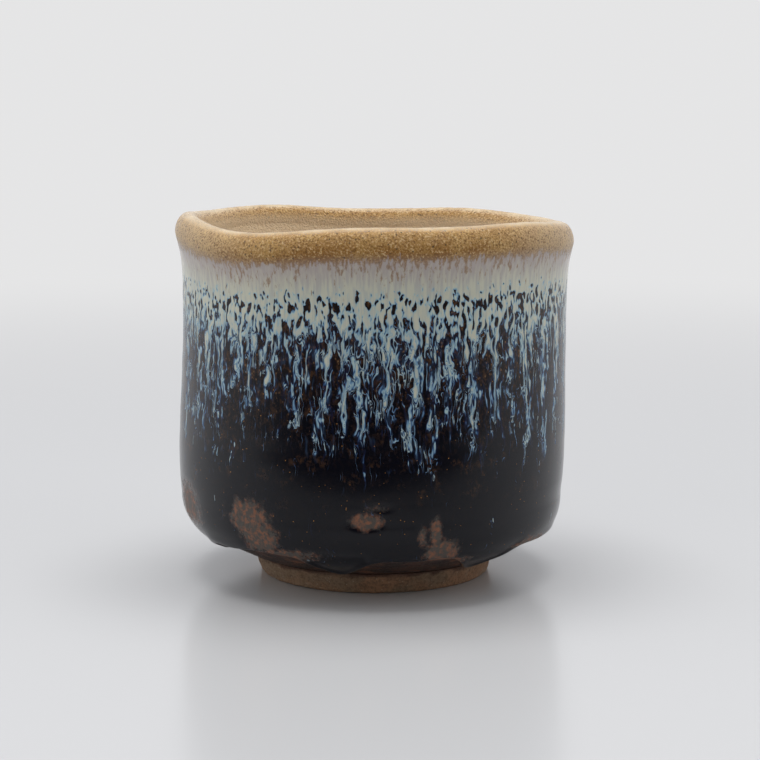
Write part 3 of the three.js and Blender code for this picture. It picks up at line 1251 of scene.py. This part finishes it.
        lip = self.lip.colour(bench, place, grain, drop)
        needed = bench.math("MULTIPLY_ADD", drop, self.lip_fade, 0.365)
        needed = bench.minus(needed, bench.span(drop, *self.lip_end, 0.0, 0.25))
        broken = bench.span(bench.minus(flecks, needed), -0.07, 0.07)
        veil = bench.span(bench.nudged(drop, streak, 6.0), *self.veiled, 0.0, 0.9)
        colour = bench.mix(veil, colour, self.lilac)
        flecked = bench.mix(bench.span(drop, *self.flecking, 0.0, 0.85), lip, self.fleck)
        colour = bench.mix(broken, colour, flecked)

        rusted = bench.nudged(mark, bench.noise(place, 0.8, 0.7, 4, 0.62), 1.1)
        bare = bench.span(rusted, 0.32, 0.84, 0.0, 0.92)
        patches = bench.span(bench.noise(place, 1.3, 1.3, 4, 0.65), 0.44, 0.66)
        colour = bench.mix(bare, colour, bench.mix(patches, self.smoke, self.rust))
        colour = bench.mix(bench.span(edge, *self.thin_edge, 0.0, 0.7), colour, self.umber)

        off_crest = bench.math("ABSOLUTE", drop)
        smooth = bench.span(off_crest, *self.smooth_crest, 0.4, 1.0)
        sandy = bench.times(bench.span(drop, *self.sandy), smooth)
        relief = bench.times(bench.span(share, 0.0, 0.6), bench.span(drop, *self.raised))
        normal = bench.bump(relief, self.thread_depth)
        normal = bench.bump(bench.times(grain, sandy), self.sand_depth, normal)
        normal = bench.bump(bench.times(mottle, bare), self.bare_depth, normal)
        rough = bench.math("MAXIMUM", bench.times(sandy, 0.24), bench.times(bare, 0.5))
        rough = bench.math("MAXIMUM", bench.math("MULTIPLY_ADD", mottle, 0.08, 0.12), rough)
        shine = bench.span(drop, *self.shiny, 0.26, 0.4)
        bench.surface(colour, rough, normal, Specular_IOR_Level=shine)
        return material


@dataclass(frozen=True)
class LinerGlaze:
    """Thin honey glaze inside the cup, with faint upright streaks and a darker pool.

    Args:
        streaking: Depths below the crest between which streaks appear.
        pooling: Depths between which the glaze darkens into a pool.
    """

    honey: Colour = tone(232, 208, 174)
    shade: Colour = tone(204, 172, 126)
    pool: Colour = tone(124, 98, 62)
    streaking: Span = (6.0, 20.0)
    pooling: Span = (22.0, 52.0)
    grain_depth: float = 0.05

    def material(self) -> bpy.types.Material:
        """Builds the material.

        Returns:
            The material.
        """
        material, bench = new_material("honey_liner")
        place = bench.millimetres()
        depth = bench.attribute("depth")
        grain = bench.noise(place, 3.0, 3.0, 3, 0.6)
        streaks = bench.span(bench.noise(place, 0.9, 0.12, 3), 0.35, 0.68)
        colour = bench.mix(bench.times(streaks, bench.span(depth, *self.streaking)), self.honey, self.shade)
        colour = bench.mix(bench.span(depth, *self.pooling), colour, self.pool)
        colour = bench.mix(bench.span(grain, 0.46, 0.28, 0.0, 0.55), colour, self.pool)
        bench.surface(colour, bench.span(grain, 0.3, 0.7, 0.28, 0.4), bench.bump(grain, self.grain_depth))
        return material


@dataclass
class TurnedPiece:
    """A closed shell turned round the cup's axis and then moved point by point.

    Args:
        name: The piece's name.
        node: The CAD node that it stands for.
        slot: Its material slot; not used.
        columns: Facets round the axis.
        strips: Strips of its map, over one another.
    """

    name: str
    node: str
    slot: Slot
    columns: int = 480
    strips: int = 2
    sharp_turn: float = 75.0
    side_margin: float = 0.01
    shown_band: Span = (0.08, 0.9)
    hidden_band: Span = (0.02, 0.03)
    piece: bpy.types.Object | None = field(default=None, init=False)
    azimuth: Array = field(init=False)
    along: Array = field(init=False)
    face: Array = field(init=False)

    @property
    def shown(self) -> Array:
        """Which points lie on the shown face."""
        return self.face > 0.5

    def felt(self, lumps: Unevenness) -> Array:
        """Reads lumps at each point."""
        return lumps.at(self.azimuth, self.along)

    def turn(self, along: Array, face: Array, closed: bool = True) -> bpy.types.Mesh:
        """Rolls a grid round the axis, with the section along its rows.

        Args:
            along: Places along the section, in order round the shell.
            face: 1 for a place on the shown face, 0 for one on the hidden face.
            closed: Whether the section closes on itself, or ends on the axis.

        Returns:
            The flat grid, whose points know their azimuth, place and face.
        """
        if closed:
            along, face = np.append(along, along[0]), np.append(face, face[0])
        bm = bmesh.new()
        bmesh.ops.create_grid(bm, x_segments=self.columns, y_segments=len(along) - 1, size=0.5)
        mesh = bpy.data.meshes.new(self.name)
        bm.to_mesh(mesh)
        bm.free()
        flat = np.empty(len(mesh.vertices) * 3)
        mesh.vertices.foreach_get("co", flat)
        flat = flat.reshape(-1, 3) + 0.5
        row = np.rint(flat[:, 1] * (len(along) - 1)).astype(int)
        self.azimuth = 360 * flat[:, 0] - 180
        self.along, self.face = along[row], face[row]
        self.strip_map(mesh, flat[:, 0])
        return mesh

    def shell(self, face: Array, back: Array) -> bpy.types.Mesh:
        """Rolls a closed shell from places of its shown and hidden faces, both in one direction."""
        places = np.concatenate((face, back[::-1]))
        return self.turn(places, np.concatenate((np.ones(len(face)), np.zeros(len(back)))))

    def band(self, low: float, high: float, rows: int, back_rows: int) -> bpy.types.Mesh:
        """Rolls a closed shell over a band; the hidden face shares its end rows with the shown one."""
        return self.shell(np.linspace(low, high, rows), np.linspace(low, high, back_rows)[1:-1])

    @staticmethod
    def carry(mesh: bpy.types.Mesh, **numbers: Array | float) -> None:
        """Gives each point numbers for the shader to read.

        Args:
            mesh: The mesh.
            **numbers: One number for each point or for all, by name.
        """
        for name, values in numbers.items():
            layer = mesh.attributes.new(name, "FLOAT", "POINT")
            layer.data.foreach_set("value", np.broadcast_to(values, len(mesh.vertices)).astype(np.float32))

    def settle(self, mesh: bpy.types.Mesh, points: Array) -> None:
        """Moves the points, closes the seams, turns the faces outwards and makes the piece.

        Args:
            mesh: The rolled grid.
            points: Its points in metres.
        """
        mesh.vertices.foreach_set("co", points.ravel())
        mesh.update()
        bm = bmesh.new()
        bm.from_mesh(mesh)
        bmesh.ops.remove_doubles(bm, verts=bm.verts, dist=1e-7)
        bmesh.ops.recalc_face_normals(bm, faces=bm.faces)
        bm.to_mesh(mesh)
        bm.free()
        mesh.shade_smooth()
        mesh.set_sharp_from_angle(angle=math.radians(self.sharp_turn))
        self.piece = bpy.data.objects.new(self.name, mesh)
        bpy.context.scene.collection.objects.link(self.piece)

    def strip_map(self, mesh: bpy.types.Mesh, turn: Array) -> None:
        """Lays the shown face out in strips over one another, with the hidden face in a narrow band.

        Args:
            mesh: The flat grid.
            turn: Share of a turn of each point.
        """
        corner = np.empty(len(mesh.loops), np.int32)
        mesh.loops.foreach_get("vertex_index", corner)
        owner = np.repeat(np.arange(len(mesh.polygons)), 4)
        middle = np.bincount(owner, turn[corner]) / 4
        strip = np.floor(middle * self.strips)[owner]
        shown = np.minimum.reduceat(self.face[corner], np.arange(0, len(corner), 4))[owner] > 0.5
        low, high = self.along.min(), self.along.max()
        rise = (self.along[corner] - low) / (high - low)
        start, size = (np.where(shown, *pair) for pair in zip(self.shown_band, self.hidden_band))
        across = self.side_margin + (1 - 2 * self.side_margin) * (turn[corner] * self.strips - strip)
        places = np.stack((across, (strip + start + size * rise) / self.strips), 1)
        layer = mesh.uv_layers.new(name="OFBake", do_init=False)
        layer.uv.foreach_set("vector", places.astype(np.float32).ravel())

    def dress(self, material: bpy.types.Material) -> None:
        """Gives the piece its finish and its place in the frame.

        Args:
            material: The finish.
        """
        self.piece.data.materials.append(material)
        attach(self.piece, BODY)
        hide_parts(self.node)
        log.info("%s: %d points in place of %s", self.name, len(self.piece.data.vertices), self.node)


CLAY_GRAIN = Unevenness(31, 0.8, 0.8)
FOOT_CHIPS = Unevenness(33, 2.6, 3.0)
WASH_EDGE = Unevenness(37, 7.0, 9.0)
LIP_LUMPS = Unevenness(41, 3.4, 2.6)
LIP_GRAIN = Unevenness(43, 0.7, 0.6)

ASH_FOOT = FORM.outside(17.0)
ASH_START = (0.6, 4.0)
LIP_FOOT = FORM.outside(50.9)
LIP_END = FORM.inside(50.0)
FAR_FROM_EDGE = 20.0

COAT_THICKNESS = 0.87
SWELL = 0.25
SWELL_HEIGHTS = np.array((13.0, 30.0))
LIP_THINNING = 0.55
THINNING_HEIGHTS = np.array((41.0, 54.0))


def finish_lift(along: Array) -> Array:
    """Gives how far the outermost coat stands off the clay.

    Args:
        along: Places along the section.

    Returns:
        The lift of the finished outer surface.
    """
    swell = SWELL * ease(along, *FORM.outside(SWELL_HEIGHTS))
    return COAT_THICKNESS + swell - LIP_THINNING * ease(along, *FORM.outside(THINNING_HEIGHTS))


@dataclass
class ClayBody(TurnedPiece):
    """The thrown body, seen only where the coats leave it bare."""

    bare_reach: float = 14.0
    grain_depth: float = 0.03
    dome_power: float = 0.8
    tool_depth: float = 0.04
    tool_waves: float = 3.1

    def build(self) -> None:
        """Turns the body, with its underside inside the foot ring."""
        underside = -np.linspace(1e-6, FORM.foot_top, 40)[:-1]
        bare = np.linspace(0, self.bare_reach, 40)
        coated = np.linspace(self.bare_reach, FORM.middle, 90)[1:]
        places = np.concatenate((underside, bare, coated))
        mesh = self.turn(places, (places >= 0).astype(float), closed=False)
        lift = np.where(self.shown, self.grain_depth * self.felt(CLAY_GRAIN), 0.0)
        points = FORM.place(self.azimuth, self.along, lift)
        under = self.along < 0
        radius = -self.along[under]
        dome = np.clip(1 - radius / FORM.recess_radius, 0, 1) ** self.dome_power
        height = FORM.foot_height + FORM.recess_dome * dome
        height += self.tool_depth * np.cos(radius * self.tool_waves) * (radius < FORM.recess_radius)
        points[under] = FORM.by_hand(self.azimuth[under], radius, height)
        self.settle(mesh, points)


@dataclass
class FootRing(TurnedPiece):
    """The turned foot ring, worn and a little chipped along its lower edge."""

    joint: float = 0.12
    chip_depth: float = 0.16
    grain_depth: float = 0.05
    outer_band: float = 2.2
    joint_band: Span = (0.1, 1.2)
    worn_band: Span = (1.2, 0.1)
    edge_steps: int = 7
    side_steps: int = 12

    def section(self) -> Array:
        """Draws the ring's section, from its inner top over the table to its outer top.

        Returns:
            Radius and height of its points.
        """
        outer, soft = FORM.foot_radius, FORM.foot_edge
        inner, top = outer - FORM.foot_wall, FORM.foot_height - self.joint
        inner_edge = arc_line((inner + soft, soft), (soft, soft), (180, 270), self.edge_steps)
        outer_edge = arc_line((outer - soft, soft), (soft, soft), (-90, 0), self.edge_steps)
        inner_wall = straight_line((FORM.recess_radius, top), (inner, soft), self.side_steps)
        outer_wall = straight_line((outer, soft), (FORM.foot_top, top), self.side_steps)
        flat = straight_line(inner_edge[-1], outer_edge[0], self.side_steps)
        return np.concatenate((inner_wall, inner_edge[1:], flat[1:], outer_edge[1:], outer_wall[1:]))

    def build(self) -> None:
        """Turns the ring and wears its lower edge."""
        section = self.section()
        arc = distances(section)
        mesh = self.shell(arc, arc[[len(arc) // 2]])
        radius, height = (np.interp(self.along, arc, section[:, axis]) for axis in (0, 1))
        radius[~self.shown], height[~self.shown] = section[[0, -1], 0].mean(), section[0, 1]
        worn = self.chip_depth * self.felt(FOOT_CHIPS) + self.grain_depth * self.felt(CLAY_GRAIN)
        outer = ease(radius, FORM.foot_radius - self.outer_band, FORM.foot_radius)
        free = ease(FORM.foot_height - height, *self.joint_band)
        radius = radius + worn * (outer * 2 - 1) * free
        height = np.maximum(height + np.maximum(worn, 0) * outer * ease(height, *self.worn_band), 0)
        self.settle(mesh, FORM.by_hand(self.azimuth, radius, height))


@dataclass
class WashCoat(TurnedPiece):
    """The iron wash under the black glaze, seen along the lower margin."""

    low_height: float = 3.6
    high_height: float = 19.0
    edge_rise: float = 0.3
    edge_sway: float = 0.3
    edge_width: float = 1.0
    back: float = 0.04
    edge_thickness: float = 0.06
    thickness: float = 0.2
    grain_depth: float = 0.02

    def build(self) -> None:
        """Turns the coat with an uneven lower edge."""
        low, high = FORM.outside(self.low_height), FORM.outside(self.high_height)
        mesh = self.band(low, high, 60, 12)
        edge = self.edge_rise + self.edge_sway * WASH_EDGE.at(self.azimuth, np.zeros_like(self.along))
        along = self.along + edge * ease(self.along, high, low)
        full = ease(self.along, low, low + self.edge_width)
        lift = np.where(self.shown, self.edge_thickness + self.thickness * full, self.back)
        lift = lift + self.grain_depth * self.felt(CLAY_GRAIN) * self.face
        self.carry(mesh, mark=mark_strength(self.azimuth, along))
        self.settle(mesh, FORM.place(self.azimuth, along, lift))


@dataclass
class BlackCoat(TurnedPiece):
    """The black base glaze, rolled along its lobed lower edge and thin in the finger marks."""

    edge_height: float = 7.8
    edge_sway: float = 0.3
    sway_row: float = 20.0
    edge_thickness: float = 0.24
    edge_width: float = 0.9
    start_height: float = 5.0
    shown_height: float = 17.5
    hidden_height: float = 46.0
    roll: float = 0.24
    roll_at: float = 1.0
    back: float = 0.2
    dent: float = 0.13
    margin: float = 0.62
    margin_width: float = 1.1
    lobe_top: float = 1.2
    tuck: float = 0.008
    tucking: Span = (-1.2, -0.4)
    under_ash: float = 0.18
    fullest_pour: float = 0.3

    def lower_edge(self) -> Array:
        """Finds where the lower edge hangs.

        Returns:
            Its place along the section, at each point's azimuth.
        """
        sway = WASH_EDGE.at(self.azimuth, np.full_like(self.azimuth, self.sway_row))
        height = self.edge_height + self.edge_sway * sway
        for lobe in LOBES:
            height = height - lobe.drop * np.exp(-(around(self.azimuth, lobe.azimuth) / lobe.spread) ** 2)
        return FORM.outside(height)

    def build(self) -> None:
        """Turns the coat, hangs its lobes and presses the finger marks."""
        stations = FORM.outside(np.array((self.start_height, self.shown_height, self.hidden_height)))
        _, shown, hidden = stations
        rows = np.concatenate((np.linspace(0, 1, 70) ** 1.5, np.linspace(1, 2, 14)[1:]))
        back_rows = np.linspace(0, 2, 14)[1:-1]
        mesh = self.shell(*(np.interp(row, (0, 1, 2), stations) for row in (rows, back_rows)))
        row = np.interp(self.along, stations, (0, 1, 2))
        edge = self.lower_edge()
        along = np.where(row < 1, edge + (shown - edge) * row, shown + (hidden - shown) * (row - 1))
        away = along - edge
        between_lobes = np.clip((FORM.height(edge) - self.edge_height) / self.lobe_top + 1, 0, 1)
        margin = self.margin * np.exp(-np.maximum(away, 0) / self.margin_width) * between_lobes
        mark = np.maximum(mark_strength(self.azimuth, along), margin)
        rounded = np.sqrt(np.clip(1 - (1 - np.clip(away / self.edge_width, 0, 1)) ** 2, 0, 1))
        rolled = self.roll * np.exp(-((away - self.roll_at) / self.edge_width) ** 2)
        sunk = self.tuck * ease(along - ASH_FOOT, *self.tucking)
        sunk = sunk + self.under_ash * ease(along - ASH_FOOT, *ASH_START)
        top = self.edge_thickness + (finish_lift(along) - self.edge_thickness) * rounded + rolled
        top = top - self.dent * ease(mark, 0.1, 0.9) - sunk
        lift = np.where(self.shown, top + FORM.feel(self.azimuth, along) * rounded, self.back)
        pour = np.minimum(POUR.width(self.azimuth, along), self.fullest_pour)
        self.carry(mesh, drop=FORM.crest - along, pour=pour, mark=mark, edge=away)
        self.settle(mesh, FORM.place(self.azimuth, along, lift))


@dataclass
class AshCoat(TurnedPiece):
    """The straw-ash glaze that runs down over the black."""

    high_height: float = 52.6
    tuck: float = 0.14
    tuck_width: float = 0.8
    bead: float = 0.1
    beading: Span = (-0.1, 0.25)
    bead_start: Span = (0.5, 4.0)
    bead_end: Span = (0.0, -4.0)
    edge_thickness: float = 0.003
    thickness: float = 0.1

    def build(self) -> None:
        """Turns the coat and raises its runs."""
        mesh = self.band(ASH_FOOT, FORM.outside(self.high_height), 110, 14)
        pour = POUR.width(self.azimuth, self.along)
        from_foot, from_lip = self.along - ASH_FOOT, self.along - LIP_FOOT
        under_lip = self.tuck * ease(from_lip, 0, self.tuck_width)
        bead = self.bead * ease(pour, *self.beading) * ease(from_foot, *self.bead_start)
        bead = bead * ease(from_lip, *self.bead_end)
        top = finish_lift(self.along) + FORM.feel(self.azimuth, self.along) + bead - under_lip
        thick = self.edge_thickness + self.thickness * ease(from_foot, *ASH_START)
        lift = np.where(self.shown, top, top - thick - bead)
        mark = mark_strength(self.azimuth, self.along)
        self.carry(mesh, drop=FORM.crest - self.along, pour=pour, mark=mark, edge=FAR_FROM_EDGE)
        self.settle(mesh, FORM.place(self.azimuth, self.along, lift))


@dataclass
class LipCoat(TurnedPiece):
    """The amber glaze over the rolled lip, lumpy and sandy."""

    edge_width: float = 1.2
    lump_depth: float = 0.035
    grain_depth: float = 0.03
    edge_thickness: float = 0.03
    thickness: float = 0.15

    def build(self) -> None:
        """Turns the coat over the crest and roughens it."""
        mesh = self.band(LIP_FOOT, LIP_END, 76, 16)
        ends = ease(np.minimum(self.along - LIP_FOOT, LIP_END - self.along), 0, self.edge_width)
        rough = self.lump_depth * self.felt(LIP_LUMPS) + self.grain_depth * self.felt(LIP_GRAIN)
        top = finish_lift(self.along) + FORM.feel(self.azimuth, self.along) + rough * ends
        lift = np.where(self.shown, top, top - self.edge_thickness - self.thickness * ends)
        pour = POUR.width(self.azimuth, self.along)
        self.carry(mesh, drop=FORM.crest - self.along, pour=pour, mark=0.0, edge=FAR_FROM_EDGE)
        self.settle(mesh, FORM.place(self.azimuth, self.along, lift))


@dataclass
class LinerCoat(TurnedPiece):
    """The glaze inside, from under the lip down to the pool on the floor."""

    high_height: float = 51.0
    lift: float = 0.57
    back: float = 0.2
    tuck: float = 0.12
    calm_middle: float = 8.0
    rows: int = 90
    back_rows: int = 20

    def build(self) -> None:
        """Turns the coat down the inner wall and over the floor."""
        low, high = FORM.inside(self.high_height), FORM.middle
        face, back = np.linspace(high, low, self.rows), np.linspace(low, high, self.back_rows)[1:]
        places = np.concatenate((face, back))
        mesh = self.turn(places, (np.arange(len(places)) < self.rows).astype(float), closed=False)
        feel = FORM.feel(self.azimuth, self.along) * ease(high - self.along, 0, self.calm_middle)
        tucked = self.tuck * ease(self.along, LIP_END, low)
        lift = np.where(self.shown, self.lift + feel - tucked, self.back)
        self.carry(mesh, depth=self.along - FORM.crest)
        self.settle(mesh, FORM.place(self.azimuth, self.along, lift))


@dataclass(frozen=True)
class Lamp:
    """A soft lamp that faces the cup.

    Args:
        name: Its name.
        at: Its place.
        size: Its width and height.
        power: Its power in watts.
        mirrored: Whether the glaze mirrors it.
    """

    name: str
    at: tuple[float, float, float]
    size: Span
    power: float
    mirrored: bool = True

    def hang(self, aim: float) -> None:
        """Hangs the lamp.

        Args:
            aim: Height on the cup's axis that it faces.
        """
        light = bpy.data.lights.new(self.name, "AREA")
        light.shape = "RECTANGLE"
        light.size, light.size_y = (side * MM for side in self.size)
        light.energy = self.power
        lamp = bpy.data.objects.new(self.name, light)
        lamp.location = [value * MM for value in self.at]
        x, y, z = self.at
        lamp.rotation_euler = Euler((math.atan2(math.hypot(x, y), z - aim), 0, math.atan2(x, -y)))
        lamp.visible_glossy = self.mirrored
        bpy.context.scene.collection.objects.link(lamp)


@dataclass
class Studio:
    """A pale floor, soft light from above and the camera of the photograph.

    Args:
        fade: Distances between which the floor fades into the background.
        far: Places along Y between which the floor turns from its near to its far tone.
        room: Places along Y between which the glaze mirrors a dim room in place of the floor.
        front: Share of Y between which the paper round the cup grows pale.
        left: Share of X between which the paper grows brighter to the left.
        right: Share of X between which it does to the right.
    """

    eye: tuple[float, float, float] = (0.83, -320.0, 76.2)
    pitch: float = 8.1
    lens: float = 95.2
    sensor: float = 36.0
    lamps: tuple[Lamp, ...] = (
        Lamp("key", (-10, 35, 570), (420, 280), 1.95),
        Lamp("fill", (-260, -700, 420), (500, 500), 0.77, mirrored=False),
        Lamp("side", (480, -160, 360), (300, 300), 0.18, mirrored=False),
    )
    aim: float = 25.0
    floor_radius: float = 6000.0
    floor_gap: float = 0.02
    floor_roughness: float = 0.2
    floor_tone: Colour = (0.622, 0.622, 0.625)
    far_tone: Colour = (0.57, 0.57, 0.573)
    sky_tone: Colour = (0.785, 0.785, 0.79)
    dark_tone: Colour = (0.05, 0.05, 0.055)
    paper_tone: Colour = (0.985, 0.995, 1.03)
    fade: Span = (80.0, 540.0)
    far: Span = (-10.0, 60.0)
    room: Span = (-70.0, -120.0)
    front: Span = (-0.85, -0.1)
    front_light: Span = (0.05, 0.7)
    left: Span = (-0.5, -0.95)
    left_light: float = 1.8
    right: Span = (0.5, 0.95)
    right_light: float = 1.5

    def build(self) -> None:
        """Sets the camera, the floor and the light."""
        self.set_camera()
        self.set_floor()
        self.set_world()
        for lamp in self.lamps:
            lamp.hang(self.aim)
        bpy.context.scene.view_settings.view_transform = "Standard"

    def set_camera(self) -> None:
        """Puts the camera where the photograph was taken."""
        camera = bpy.data.cameras.new("camera")
        camera.lens, camera.sensor_width = self.lens, self.sensor
        camera.clip_start = 10 * MM
        seen = bpy.data.objects.new("camera", camera)
        seen.location = [value * MM for value in self.eye]
        seen.rotation_euler = Euler((math.radians(90 - self.pitch), 0, 0))
        bpy.context.scene.collection.objects.link(seen)
        bpy.context.scene.camera = seen

    def set_floor(self) -> None:
        """Lays a wide round floor."""
        bm = bmesh.new()
        below = Matrix.Translation((0, 0, -self.floor_gap * MM))
        bmesh.ops.create_circle(bm, cap_ends=True, segments=96, radius=self.floor_radius * MM, matrix=below)
        mesh = bpy.data.meshes.new("floor")
        bm.to_mesh(mesh)
        bm.free()
        floor = bpy.data.objects.new("floor", mesh)
        bpy.context.scene.collection.objects.link(floor)
        mesh.materials.append(self.floor_material())

    def floor_material(self) -> bpy.types.Material:
        """Builds the floor's material, which fades into the background.

        Returns:
            The material.
        """
        material, bench = new_material("floor")
        place = bench.millimetres()
        y = bench.parts(place)[1]
        rays = bench.node("ShaderNodeLightPath").outputs
        camera, glossy = rays["Is Camera Ray"], rays["Is Glossy Ray"]
        dim = bench.times(bench.span(y, *self.room), glossy)
        paper = bench.mix(bench.span(y, *self.far), self.floor_tone, self.far_tone)
        colour = bench.mix(dim, paper, self.dark_tone)
        matt = bench.shader("ShaderNodeBsdfPrincipled", Base_Color=colour, Roughness=self.floor_roughness)
        glow = bench.shader("ShaderNodeEmission", Color=self.sky_tone)
        seen = bench.times(bench.math("MAXIMUM", camera, glossy), bench.minus(1.0, dim))
        share = bench.times(bench.span(bench.length(place), *self.fade), seen)
        bench.end(bench.blended(share, matt, glow))
        return material

    def set_world(self) -> None:
        """Surrounds the cup with pale paper, dimmer towards the camera."""
        world = bpy.data.worlds.new("studio")
        world.use_nodes = True
        bpy.context.scene.world = world
        bench = NodeBench(world.node_tree)
        x, y, _ = bench.parts(bench.node("ShaderNodeTexCoord").outputs["Generated"])
        sides = bench.span(x, *self.left, 1.0, self.left_light)
        sides = bench.times(sides, bench.span(x, *self.right, 1.0, self.right_light))
        light = bench.times(bench.span(y, *self.front, *self.front_light), sides)
        around_cup = bench.shader("ShaderNodeBackground", Color=self.paper_tone, Strength=light)
        behind = bench.shader("ShaderNodeBackground", Color=self.sky_tone)
        camera = bench.node("ShaderNodeLightPath").outputs["Is Camera Ray"]
        bench.end(bench.blended(camera, around_cup, behind), "ShaderNodeOutputWorld")


def main() -> None:
    """Builds the cup and the studio round it."""
    logging.basicConfig(level=logging.INFO, format="%(name)s: %(message)s")
    clay, wash = SandyClay().material(), RustWash().material()
    glazes, liner = PouredGlazes().material(), LinerGlaze().material()
    cup = [
        (ClayBody("thrown_body", "clay_body", Slot.BARE_CLAY, 240), clay),
        (FootRing("turned_foot", "foot_ring", Slot.BARE_CLAY, 480), clay),
        (WashCoat("rust_wash", "iron_wash", Slot.IRON_WASH, 360), wash),
        (BlackCoat("black_coat", "black_glaze", Slot.BLACK_GLAZE, 720), glazes),
        (AshCoat("ash_coat", "straw_ash_glaze", Slot.STRAW_ASH, 720, 3), glazes),
        (LipCoat("lip_coat", "lip_glaze", Slot.AMBER, 900, 3), glazes),
        (LinerCoat("liner_coat", "liner_glaze", Slot.LINER, 480), liner),
    ]
    for piece, finish in cup:
        piece.build()
        piece.dress(finish)
    Studio().build()
    log.info("studio: camera, floor, paper and lamps")


if __name__ == "__main__":
    main()
